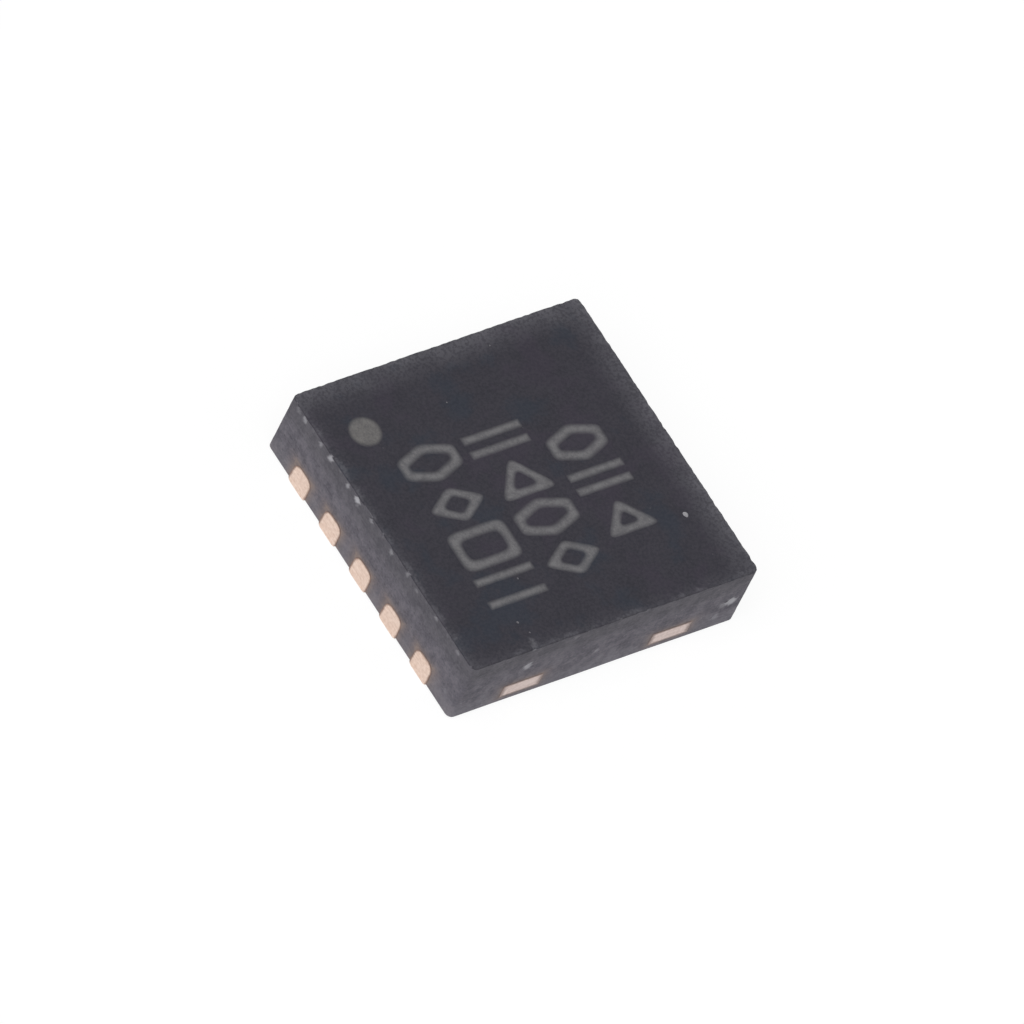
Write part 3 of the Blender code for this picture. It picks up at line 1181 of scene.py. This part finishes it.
    def sink(self, point: Vector, away: Vector, chips: list[Chip]) -> tuple[float, float]:
        """How far the worn skin lies inside the block.

        Args:
            point: A point on the block's outside.
            away: The direction out of the block there.
            chips: The chips that may reach it.

        Returns:
            The depth in millimetres, and how worn the point looks, from 0 to 1.
        """
        flat = abs(away.z)
        top = self.top_sink + self.top_grain * noise.noise(point / self.grain_size)
        line = Vector(((point.x + point.y) * self.saw_slope, WALL_ROW, point.z / self.saw_pitch))
        wall = self.wall_sink + self.wall_grain * noise.noise(line)
        depth = top * flat + wall * (1 - flat)
        rim_x = self.box.high.x - abs(point.x)
        rim_y = self.box.high.y - abs(point.y)
        from_edge = hypot(min(rim_x, rim_y), self.box.high.z - point.z)
        wear = 0.0
        if from_edge < self.ragged_band:
            share = 1 - from_edge / self.ragged_band
            ragged = max(0.0, noise.noise(point / self.ragged_size) + self.ragged_share)
            depth += self.ragged_depth * ragged * share
            wear = self.ragged_wear * ragged * share
        if flat > STEEP:
            wear = flat * max(wear, self.rub(point), self.wander(point))
        for chip in chips:
            dent = chip.dent(point)
            if dent > 0:
                depth += self.chip_steepness * chip.radius * dent
                wear = max(wear, chip.wear(dent))
        return depth, wear

    def wander(self, point: Vector) -> float:
        """How far the sawn wall's grey has broken over the top's edge at a point, from 0 to 1.

        Args:
            point: A point on the top or its rounded edge.

        Returns:
            The wear: full beside the walls at -X and -Y, with an uneven inner border.
        """
        from_edge = min(self.box.high.x + point.x, self.box.high.y + point.y)
        coarse = noise.noise(point / self.wander_size)
        fine = noise.noise(point / self.wander_detail)
        border = self.wander_reach * (self.wander_start + coarse + self.wander_detail_share * fine)
        share = (border + self.wander_least - from_edge) / self.wander_border
        return self.wander_wear * min(1.0, max(0.0, share))

    def band(self, wall: float, place: float) -> float:
        """How far handling has paled the top beside two opposite walls, more at the positive one.

        Args:
            wall: How far out the two walls lie.
            place: Where the point lies between them.

        Returns:
            The wear, from 0 to 1.
        """
        reach, strength = self.rub_far if place > 0 else self.rub_near
        return strength * max(0.0, 1 - (wall - abs(place)) / reach) ** self.rub_curve

    def rub(self, point: Vector) -> float:
        """How far handling has paled the top, in patches, and more where two bands meet.

        Args:
            point: A point on the top or its rounded edge.

        Returns:
            The wear, where 1 is the palest.
        """
        bands = self.band(self.box.high.x, point.x), self.band(self.box.high.y, point.y)
        less, more = sorted(bands)
        patches = 1 + self.rub_patchiness * noise.noise(point / self.rub_patch)
        return (more + self.rub_overlap * less) * patches

    def smear(self, point: Vector) -> float:
        """How much copper the blade has dragged over a wall.

        Args:
            point: A point on the wall.

        Returns:
            The copper's share, from 0 to 1.
        """
        nearest = min(opening.distance(point) for opening in self.openings)
        halo = exp(-nearest / self.smear_reach)
        if abs(point.x) <= self.box.high.x - NEAR_WALL or point.z >= self.film_height:
            return halo
        patches = self.film_share + self.film_patchiness * noise.noise(point / self.film_patch)
        return max(halo, self.film * (1 - point.z / self.film_height) * patches)

    def weather(self, piece: Workpiece) -> None:
        """Sinks the skin by its grain, saw lines and chips, and stores where it is worn or smeared.

        Args:
            piece: The moulding, with its pockets closed.
        """
        chips = self.chips()
        wear, smear = [], []
        for vertex in piece.obj.data.vertices:
            point = vertex.co.copy()
            away, distance = self.outward(point)
            worn = smeared = 0.0
            if abs(distance) < self.skin_depth and away.length > 0.5:
                depth, worn = self.sink(point, away, chips)
                vertex.co = point - away * depth
                if abs(away.z) < STEEP:
                    smeared = self.smear(point)
            wear.append(worn)
            smear.append(smeared)
        piece.mark("wear", wear)
        piece.mark("smear", smear)

    def build(self) -> None:
        """Makes the moulding."""
        piece = self.cut()
        self.close_pockets(piece)
        self.weather(piece)

        def choice(face: bpy.types.MeshPolygon) -> int:
            """Sawn epoxy on the walls with their chips, moulded epoxy elsewhere."""
            rounded = face.center.z > self.box.high.z - self.edge_radius
            return 1 if abs(face.normal.z) < (STEEP if rounded else CHIPPED) else 0

        piece.dress(MOULDED, SAWN, choice=choice)
        piece.hand_over("mold_compound", "mold_body")


@dataclass(frozen=True)
class CutEnd:
    """What a piece's sawn ends look like, with lengths in millimetres."""

    finish: Finish
    rim: float
    level_share: float
    grain: float

    def gap(self, point: Vector, other: Vector) -> float:
        """How far apart two points of an end lie, where level distances may count for less."""
        across = point - other
        return hypot(hypot(across.x, across.y) * self.level_share, across.z)


TERMINAL_END = CutEnd(CUT_COPPER, rim=0.030, level_share=1.0, grain=0.0012)
TIE_BAR_END = CutEnd(CUT_TIE_BAR, rim=0.032, level_share=0.5, grain=0.0003)


@dataclass
class LeadFrame:
    """The copper terminals and the die pad: sawn at the walls, plated underneath."""

    plated_cell: float = 0.02
    cut_cell: float = 0.012
    plated_edge: float = 0.04
    plating_grain: float = 0.0008
    shown_depth: float = 0.012
    burr_root: float = 0.0020
    burr_back: float = 0.0015
    saw_pitch: float = 0.03
    plating_size: float = 0.05
    sharp: float = 60.0
    wall: Box = field(default_factory=lambda: Box.of_node("mold_body"))

    def is_cut(self, point: Vector) -> bool:
        """Whether a point lies on a sawn end."""
        return max(abs(point.x), abs(point.y)) > self.wall.high.x - ON_SURFACE

    def is_plated(self, point: Vector) -> bool:
        """Whether a point lies on the exposed underside."""
        return point.z < ON_SURFACE

    def is_lower_edge(self, edge: bmesh.types.BMEdge) -> bool:
        """Whether an edge bounds the exposed underside, away from the sawn end.

        Args:
            edge: An edge of the terminal or pad.

        Returns:
            True for such an edge, where it is sharp.
        """
        level = all(self.is_plated(corner.co) for corner in edge.verts)
        sawn = all(self.is_cut(corner.co) for corner in edge.verts)
        return level and not sawn and edge.calc_face_angle(0.0) > radians(self.sharp)

    def refine(self, piece: Workpiece) -> None:
        """Rounds the lower edges, and cuts the sawn ends and the exposed underside into small cells.

        Args:
            piece: The terminal or pad.
        """
        low = Vector(min(v.co[i] for v in piece.obj.data.vertices) for i in range(3))
        high = Vector(max(v.co[i] for v in piece.obj.data.vertices) for i in range(3))
        body_foot = (0.0, 0.0, self.wall.low.z)
        with piece.editing():
            for axis in (Axis.X, Axis.Y):
                wall = self.wall.high[axis.value]
                for depth in (self.shown_depth, self.burr_root, self.burr_back):
                    piece.slice(axis, (depth - wall, wall - depth))
            piece.pick(Element.EDGE, self.is_lower_edge)
            bpy.ops.mesh.bevel(offset=self.plated_edge, segments=3, affect="EDGES")
            bpy.ops.mesh.select_all(action="SELECT")
            bpy.ops.mesh.bisect(plane_co=body_foot, plane_no=(0.0, 0.0, 1.0), threshold=MERGE)
            for wanted, cell in ((self.is_cut, self.cut_cell), (self.is_plated, self.plated_cell)):
                piece.pick(Element.FACE, lambda face: all(wanted(corner.co) for corner in face.verts))
                bpy.ops.mesh.hide(unselected=True)
                piece.slice(Axis.X, steps(low.x, high.x, cell))
                piece.slice(Axis.Y, steps(low.y, high.y, cell))
                piece.slice(Axis.Z, steps(low.z, high.z, cell))
                bpy.ops.mesh.reveal(select=False)

    def draw_out(self, piece: Workpiece, burr: Burr, *openings: Opening) -> None:
        """Draws a piece's cut ends out over the epoxy, as thin burrs.

        Args:
            piece: The terminal or pad.
            burr: How far the ends are drawn.
            openings: Where the piece comes out of the moulding.
        """
        for opening in openings:
            drawn = burr.cover(opening)
            across, along = opening.axis.value, 1 - opening.axis.value
            first, last = opening.along
            for vertex in piece.obj.data.vertices:
                point = vertex.co
                at_end = point[across] * opening.side > opening.wall - self.burr_back - MERGE
                if at_end and first - ON_SURFACE < point[along] < last + ON_SURFACE:
                    reach = 1 - burr.leaning * remap(point.z, opening.height, (0.0, 1.0))
                    level = remap(point[along], opening.along, drawn.along)
                    point[along] += reach * (level - point[along])
                    point.z = remap(point.z, opening.height, drawn.height)

    def weather(self, piece: Workpiece, cut: CutEnd) -> None:
        """Roughens the cut and the plating, and stores how near each point of a cut lies to its rim, where
        the cut's finish paints shade.

        Args:
            piece: The terminal or pad.
            cut: What its sawn ends look like.
        """
        mesh = piece.obj.data
        inner, outer = set(), set()
        for face in mesh.polygons:
            sawn = all(self.is_cut(mesh.vertices[i].co) for i in face.vertices)
            (inner if sawn else outer).update(face.vertices)
        foot = self.wall.low.z - MERGE
        rimmed = [mesh.vertices[i].co.copy() for i in inner & outer if mesh.vertices[i].co.z > foot]
        rim = []
        for vertex in mesh.vertices:
            point = vertex.co.copy()
            near = 0.0
            if vertex.index in inner:
                near = max(0.0, 1 - min(cut.gap(point, other) for other in rimmed) / cut.rim)
                line = Vector((point.x + point.y, CUT_ROW, point.z / self.saw_pitch))
                rough = cut.grain * (1 - near) * (1 + noise.noise(line))
                axis = 0 if abs(point.x) > abs(point.y) else 1
                if vertex.index not in outer:
                    vertex.co[axis] = point[axis] - (rough if point[axis] > 0 else -rough)
            elif max(abs(point.x), abs(point.y)) > self.wall.high.x - self.shown_depth - ON_SURFACE:
                # the sides of the drawn-out end take the rim's full painted shade
                near = 1.0 if point.z > foot else 0.0
            elif self.is_plated(point):
                vertex.co.z = point.z + self.plating_grain * (1 + noise.noise(point / self.plating_size))
            rim.append(near)
        piece.mark("rim", rim)

    def dress(self, piece: Workpiece, cut: CutEnd) -> None:
        """Gives each face its finish.

        Args:
            piece: The terminal or pad.
            cut: What its sawn ends look like.
        """

        def choice(face: bpy.types.MeshPolygon) -> int:
            """Cut copper at the walls, tin on the exposed underside, bare copper elsewhere.

            Args:
                face: A face of the terminal or pad.

            Returns:
                The number of its material slot.
            """
            shown = max(abs(face.center.x), abs(face.center.y)) > self.wall.high.x - self.shown_depth
            if shown and face.normal.z > FACES_DOWN:
                return 0
            return 1 if face.center.z < self.wall.low.z else 2

        piece.dress(cut.finish, TIN, FRAME_COPPER, choice=choice)

    def build(self) -> None:
        """Makes the terminals from one, and the die pad."""
        names = terminal_names()
        model = Workpiece.from_node(names[0], "terminal_model")
        self.refine(model)
        start = Box.of_node(names[0]).middle
        for name in names:
            target = Box.of_node(name).middle
            piece = model.copy(f"sawn_{name}")
            turn = Matrix.Rotation(pi if target.x * start.x < 0 else 0.0, 4, "Z")
            place = Matrix.Translation(target) @ turn @ Matrix.Translation(-start)
            piece.obj.data.transform(place)
            self.draw_out(piece, TERMINAL_BURR, terminal_opening(name))
            self.weather(piece, TERMINAL_END)
            self.dress(piece, TERMINAL_END)
            piece.hand_over("terminal_copper", name)
        bpy.data.objects.remove(model.obj)
        pad = Workpiece.from_node("die_pad", "sawn_die_pad")
        self.refine(pad)
        self.draw_out(pad, TIE_BAR_BURR, *tie_bar_openings())
        self.weather(pad, TIE_BAR_END)
        self.dress(pad, TIE_BAR_END)
        pad.hand_over("tinned_pad", "die_pad")


class Figure(Enum):
    """A plain figure that a laser mark shows."""

    BARS = "two upright bars"
    DIAMOND = "a diamond outline"
    HEXAGON = "a six-sided outline"
    SQUARE = "a square outline"
    TRIANGLE = "a three-sided outline"


@dataclass(frozen=True)
class MarkRow:
    """One row of laser marks, in millimetres from the walls at +X and +Y."""

    down: Pair
    spans: tuple[Pair, ...]
    figures: tuple[Figure, ...]


@dataclass
class LaserMarks:
    """Three rows of plain figures and the pin-one dot, burnt into the top."""

    stroke: float = 0.13
    narrow_stroke: float = 0.11
    margin: float = 0.03
    thickness: float = 0.004
    tucked: float = 0.005
    swell: float = 0.04
    top: float = field(default_factory=lambda: Box.of_node("mold_body").high.z - 0.0004)
    ragged: float = 0.003
    ragged_size: float = 0.05
    dot_place: Pair = (2.585, 0.555)
    dot_radius: float = 0.166
    dot_fade: float = 0.058
    dot_rings: tuple[float, ...] = (0.012, 0.012, 0.012, 0.012, 0.012, 0.04)
    dot_corners: int = 48
    wall: Box = field(default_factory=lambda: Box.of_node("mold_body"))
    rows: tuple[MarkRow, ...] = (
        MarkRow(
            (0.574, 1.107),
            ((1.114, 1.483), (1.579, 1.781), (1.912, 2.245)),
            (Figure.HEXAGON, Figure.BARS, Figure.TRIANGLE),
        ),
        MarkRow(
            (1.233, 1.805),
            ((0.924, 1.126), (1.221, 1.602), (1.674, 2.055), (2.126, 2.483)),
            (Figure.BARS, Figure.TRIANGLE, Figure.HEXAGON, Figure.DIAMOND),
        ),
        MarkRow(
            (1.924, 2.490),
            ((0.840, 1.221), (1.305, 1.662), (1.740, 2.121), (2.220, 2.507)),
            (Figure.HEXAGON, Figure.DIAMOND, Figure.SQUARE, Figure.BARS),
        ),
    )

    def width(self, figure: Figure) -> float:
        """A figure's stroke, fade included: narrower where a wide one would fill the figure."""
        return self.stroke if figure in (Figure.HEXAGON, Figure.SQUARE) else self.narrow_stroke

    def outline(self, figure: Figure, name: str) -> Workpiece:
        """Draws a figure's filled outline round the origin, before it is fitted to its place.

        Args:
            figure: The figure.
            name: The piece's name.

        Returns:
            The flat figure.
        """
        corners = {Figure.DIAMOND: 4, Figure.HEXAGON: 6, Figure.SQUARE: 4, Figure.TRIANGLE: 3}[figure]
        turn = pi / 4 if figure is Figure.SQUARE else 0.0
        rotation = (0.0, 0.0, turn)
        bpy.ops.mesh.primitive_circle_add(vertices=corners, radius=1.0, fill_type="NGON", rotation=rotation)
        bpy.ops.object.transform_apply(location=True, rotation=True, scale=True)
        return Workpiece.from_active(name)

    def fit(self, piece: Workpiece, low: Vector, high: Vector) -> None:
        """Moves and stretches a flat piece into a box on the top.

        Args:
            piece: The flat piece.
            low: The box's lowest corner.
            high: Its highest corner.
        """
        points = [v.co for v in piece.obj.data.vertices]
        first = Vector((min(p.x for p in points), min(p.y for p in points), 0.0))
        last = Vector((max(p.x for p in points), max(p.y for p in points), 0.0))
        for vertex in piece.obj.data.vertices:
            for axis in (0, 1):
                share = (vertex.co[axis] - first[axis]) / (last[axis] - first[axis])
                vertex.co[axis] = low[axis] + share * (high[axis] - low[axis])
            vertex.co.z = self.top

    def ring(self, figure: Figure, name: str, low: Vector, high: Vector) -> Workpiece:
        """A figure drawn as a closed stroke with soft corners.

        Args:
            figure: The figure.
            name: The piece's name.
            low: The lowest corner of the mark's place.
            high: Its highest corner.

        Returns:
            The flat stroke.
        """
        piece = self.outline(figure, name)
        self.fit(piece, low, high)
        with piece.editing():
            bpy.ops.mesh.select_all(action="SELECT")
            bpy.ops.mesh.select_mode(type="FACE")
            bpy.ops.mesh.inset(thickness=self.width(figure), depth=0.0)
            bpy.ops.mesh.delete(type="FACE")
            bpy.ops.mesh.select_all(action="SELECT")
            bpy.ops.mesh.subdivide(number_cuts=2)
        return piece

    def bar(self, name: str, low: Vector, high: Vector) -> Workpiece:
        """Draws one straight stroke, as a grid of cells.

        Args:
            name: The piece's name.
            low: The lowest corner of its place.
            high: The highest corner.

        Returns:
            The flat stroke.
        """
        cells = max(6, round((high.x - low.x) / self.stroke * 3))
        bpy.ops.mesh.primitive_grid_add(x_subdivisions=cells, y_subdivisions=3, size=1.0)
        piece = Workpiece.from_active(name)
        self.fit(piece, low, high)
        return piece

    def bars(self, name: str, low: Vector, high: Vector) -> Workpiece:
        """Draws two straight strokes side by side, as one piece.

        Args:
            name: The piece's name.
            low: The lowest corner of its place.
            high: The highest corner.

        Returns:
            The flat strokes.
        """
        first = self.bar(name, low, Vector((high.x, low.y + self.narrow_stroke, 0.0)))
        second = self.bar(f"{name}_second", Vector((low.x, high.y - self.narrow_stroke, 0.0)), high)
        choose(first.obj)
        second.obj.select_set(True)
        bpy.ops.object.join()
        return first

    def soften(self, piece: Workpiece) -> None:
        """Rounds a stroke's corners and gives it small cells.

        Args:
            piece: The flat stroke.
        """
        choose(piece.obj)
        smooth = piece.obj.modifiers.new("Soft corners", "SUBSURF")
        smooth.levels = 2
        smooth.render_levels = 2
        bpy.ops.object.modifier_apply(modifier=smooth.name)

    def burn(self, piece: Workpiece, fade: float) -> None:
        """Roughens a stroke's outline, thickens it and stores how deeply each point is burnt.

        Args:
            piece: The flat stroke.
            fade: How far the burn takes to reach its full depth, in millimetres from the outline.
        """
        mesh = bmesh.new()
        mesh.from_mesh(piece.obj.data)
        bmesh.ops.recalc_face_normals(mesh, faces=mesh.faces)
        layer = mesh.verts.layers.float.new("burn")
        rim = [vertex for vertex in mesh.verts if vertex.is_boundary]
        tree = KDTree(len(rim))
        for vertex in rim:
            tree.insert(vertex.co, vertex.index)
        tree.balance()
        for vertex in mesh.verts:
            inward = tree.find(vertex.co)[2]
            vertex[layer] = min(1.0, inward / fade)
            vertex.co.z -= self.tucked * max(0.0, 1 - inward / self.swell) ** 2
        for vertex in rim:
            shift = noise.noise_vector(vertex.co / self.ragged_size)
            vertex.co.x += shift.x * self.ragged
            vertex.co.y += shift.y * self.ragged
        mesh.to_mesh(piece.obj.data)
        mesh.free()
        choose(piece.obj)
        wall = piece.obj.modifiers.new("Thickness", "SOLIDIFY")
        wall.thickness = self.thickness
        bpy.ops.object.modifier_apply(modifier=wall.name)
        lift = self.top - max(vertex.co.z for vertex in piece.obj.data.vertices)
        piece.obj.data.transform(Matrix.Translation((0.0, 0.0, lift)))

    def dot(self) -> None:
        """The round mark beside terminal 1."""
        down, along = self.dot_place
        place = (self.wall.high.x - down, self.wall.high.y - along, self.top)
        bpy.ops.mesh.primitive_circle_add(
            vertices=self.dot_corners, radius=self.dot_radius, fill_type="NGON", location=place
        )
        bpy.ops.object.transform_apply(location=True, rotation=True, scale=True)
        piece = Workpiece.from_active("pin_one_dot")
        with piece.editing():
            bpy.ops.mesh.select_all(action="SELECT")
            bpy.ops.mesh.select_mode(type="FACE")
            for thickness in self.dot_rings:
                bpy.ops.mesh.inset(thickness=thickness, depth=0.0)
        self.burn(piece, self.dot_fade)
        piece.dress(BURNT_DOT)
        piece.hand_over("mold_compound")

    def build(self) -> None:
        """Makes every mark."""
        corner = self.wall.high
        for number, row in enumerate(self.rows, 1):
            for place, (span, figure) in enumerate(zip(row.spans, row.figures), 1):
                low = Vector((corner.x - row.down[1] - self.margin, corner.y - span[1] - self.margin, 0.0))
                high = Vector((corner.x - row.down[0] + self.margin, corner.y - span[0] + self.margin, 0.0))
                name = f"laser_mark_{number}_{place}"
                if figure is Figure.BARS:
                    made = self.bars(name, low, high)
                else:
                    made = self.ring(figure, name, low, high)
                self.soften(made)
                self.burn(made, self.width(figure) / 2)
                made.dress(BURNT)
                made.hand_over("mold_compound")
        self.dot()


@dataclass
class LooseGrains:
    """Grains of filler that lie on the top."""

    large: float = 0.022
    unevenness: float = 0.35
    lumpiness: float = 0.9
    next_lump: float = 7.0
    flattened: float = 0.25
    lengthened: float = 1.2
    lowest: float = -0.004
    highest: float = 0.0008
    top: float = field(default_factory=lambda: Box.of_node("mold_body").high.z - 0.001)
    places: tuple[tuple[float, float, float], ...] = (
        (1.177, -0.776, 0.022), (-0.612, -0.823, 0.008), (-0.858, -1.211, 0.010), (0.458, 1.328, 0.008),
        (-0.229, 0.953, 0.007), (-0.812, -1.336, 0.008), (-0.834, -1.420, 0.007),
    )

    def build(self) -> None:
        """Makes the grains as one piece: flattened, uneven lumps."""
        lumps = []
        for number, (across, along, radius) in enumerate(self.places, 1):
            bpy.ops.mesh.primitive_ico_sphere_add(subdivisions=3, radius=radius)
            lump = Workpiece.from_active(f"grain_{number}")
            for vertex in lump.obj.data.vertices:
                shift = Vector((number * self.next_lump, 0.0, 0.0))
                uneven = 1 + self.unevenness * noise.noise(vertex.co / radius * self.lumpiness + shift)
                point = vertex.co * uneven
                height = self.top + min(self.highest, max(self.lowest, point.z * self.flattened))
                vertex.co = Vector((across + point.x, along + point.y * self.lengthened, height))
            lump.mark("bright", [min(1.0, radius / self.large)] * len(lump.obj.data.vertices))
            lumps.append(lump)
        choose(lumps[0].obj)
        for lump in lumps[1:]:
            lump.obj.select_set(True)
        bpy.ops.object.join()
        piece = Workpiece(lumps[0].obj, "filler_grains")
        piece.dress(DUST)
        piece.hand_over("mold_compound")


@dataclass
class Inside:
    """What the epoxy hides: the die, its adhesive and the wires, which keep their CAD meshes."""

    adhesive: Finish = SilverEpoxy("silver_epoxy")
    silicon: Finish = PolishedSilicon("polished_silicon")
    gold: Finish = DrawnGold("drawn_gold")

    def dress_node(self, node: str, finish: Finish) -> None:
        """Gives a CAD node its finish.

        Args:
            node: The CAD node.
            finish: Its finish.
        """
        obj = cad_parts[node]
        obj.data.materials.clear()
        obj.data.materials.append(finish.material())
        log.info("%s: keeps its CAD mesh, with %s", node, finish.name)

    def build(self) -> None:
        """Dresses the inner nodes."""
        self.dress_node("die_attach", self.adhesive)
        self.dress_node("die", self.silicon)
        for node in sorted(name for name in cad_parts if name.startswith("bond_wire_")):
            self.dress_node(node, self.gold)


@dataclass
class Studio:
    """The floor, the lamps and the camera. Distances are in metres."""

    floor_size: float = 0.6
    floor_colour: Colour = srgb(250, 250, 250)
    shadow_share: float = 0.13
    floor_white: float = 1.02
    world_strength: float = 0.26
    lens: float = 1173.95
    sensor: float = 36.0
    aim: Vector = field(default_factory=lambda: Vector((-0.0351, -0.0366, 0.375)) * MM)
    distance: float = 281.64 * MM
    azimuth: float = 54.378
    elevation: float = 50.103
    roll: float = 27.790

    def white_share(self, graph: Graph) -> bpy.types.NodeSocket:
        """Finds the rays that come from the camera or off a glossy surface, or go through glass.

        Args:
            graph: The floor's or the surround's graph.

        Returns:
            1 for such a ray, and 0 for any other.
        """
        path = graph.add("ShaderNodeLightPath")
        seen = graph.maths("MAXIMUM", path.outputs["Is Camera Ray"], path.outputs["Is Glossy Ray"])
        return graph.maths("MAXIMUM", seen, path.outputs["Is Transmission Ray"])

    def floor(self) -> None:
        """A plain pale floor, white to the camera, that keeps the package's shadow."""
        bpy.ops.object.select_all(action="DESELECT")
        bpy.ops.mesh.primitive_grid_add(x_subdivisions=8, y_subdivisions=8, size=self.floor_size)
        floor = bpy.context.active_object
        floor.name = "floor"
        paint = bpy.data.materials.new("floor_paint")
        paint.use_nodes = True
        graph = Graph(paint.node_tree)
        shader = paint.node_tree.nodes["Principled BSDF"]
        shader.inputs["Base Color"].default_value = self.floor_colour
        shader.inputs["Roughness"].default_value = 0.9
        shader.inputs["Specular IOR Level"].default_value = 0.0
        white = graph.add("ShaderNodeEmission", {"Color": WHITE, "Strength": self.floor_white})
        share = graph.times(self.white_share(graph), 1 - self.shadow_share)
        mix = graph.add(
            "ShaderNodeMixShader",
            {0: share, 1: shader.outputs["BSDF"], 2: white.outputs["Emission"]},
        )
        graph.feed(paint.node_tree.nodes["Material Output"].inputs["Surface"], mix.outputs["Shader"])
        floor.data.materials.append(paint)

    def world(self) -> None:
        """A plain pale surround that lights from all sides and is white to the camera."""
        world = bpy.data.worlds.new("surround")
        bpy.context.scene.world = world
        world.use_nodes = True
        graph = Graph(world.node_tree)
        light = graph.add("ShaderNodeBackground", {"Color": WHITE, "Strength": self.world_strength})
        white = graph.add("ShaderNodeBackground", {"Color": WHITE, "Strength": 1.0})
        mix = graph.add(
            "ShaderNodeMixShader",
            {0: self.white_share(graph), 1: light.outputs["Background"], 2: white.outputs["Background"]},
        )
        graph.feed(world.node_tree.nodes["World Output"].inputs["Surface"], mix.outputs["Shader"])

    def lamp(
        self, name: str, azimuth: float, elevation: float, distance: float, size: float, power: float
    ) -> None:
        """A soft square lamp that points at the package.

        Args:
            name: The lamp's name.
            azimuth: Degrees from -Y towards -X.
            elevation: Degrees above the floor.
            distance: Metres from the package.
            size: The lamp's side, in metres.
            power: Its power, in watts.
        """
        data = bpy.data.lights.new(name, "AREA")
        data.shape = "SQUARE"
        data.size = size
        data.energy = power
        lamp = bpy.data.objects.new(name, data)
        bpy.context.scene.collection.objects.link(lamp)
        back = self.direction(azimuth, elevation)
        turn = back.to_track_quat("Z", "Y").to_matrix().to_4x4()
        lamp.matrix_world = Matrix.Translation(back * distance) @ turn
        lamp.visible_camera = False

    @staticmethod
    def direction(azimuth: float, elevation: float) -> Vector:
        """The unit vector from the package towards a place given by its angles in degrees."""
        turn, lift = radians(azimuth), radians(elevation)
        return Vector((-sin(turn) * cos(lift), -cos(turn) * cos(lift), sin(lift)))

    def camera(self) -> None:
        """The camera, at the photograph's angle and framing."""
        data = bpy.data.cameras.new("camera")
        data.sensor_width = self.sensor
        data.lens = self.lens
        data.clip_start = 0.01
        data.clip_end = 10.0
        back = self.direction(self.azimuth, self.elevation)
        level = (-back).cross(Vector((0.0, 0.0, 1.0))).normalized()
        upright = level.cross(-back)
        tilt = radians(self.roll)
        right = level * cos(tilt) + upright * sin(tilt)
        up = upright * cos(tilt) - level * sin(tilt)
        turn = Matrix((right, up, back)).transposed().to_4x4()
        camera = bpy.data.objects.new("camera", data)
        bpy.context.scene.collection.objects.link(camera)
        camera.matrix_world = Matrix.Translation(self.aim + back * self.distance) @ turn
        bpy.context.scene.camera = camera

    def build(self) -> None:
        """Sets up the studio."""
        self.floor()
        self.world()
        self.lamp("key_lamp", azimuth=70.0, elevation=55.0, distance=0.5, size=0.5, power=2.5)
        self.lamp("fill_lamp", azimuth=-40.0, elevation=50.0, distance=0.6, size=0.5, power=0.4)
        self.camera()
        bpy.context.scene.view_settings.view_transform = "Standard"


def main() -> None:
    """Builds the studio and each part of the chip in order."""
    logging.basicConfig(level=logging.INFO, format="%(name)s: %(message)s")
    bpy.ops.object.select_all(action="DESELECT")
    Studio().build()
    for part in (Moulding(), LeadFrame(), LaserMarks(), LooseGrains(), Inside()):
        part.build()


if __name__ == "__main__":
    main()
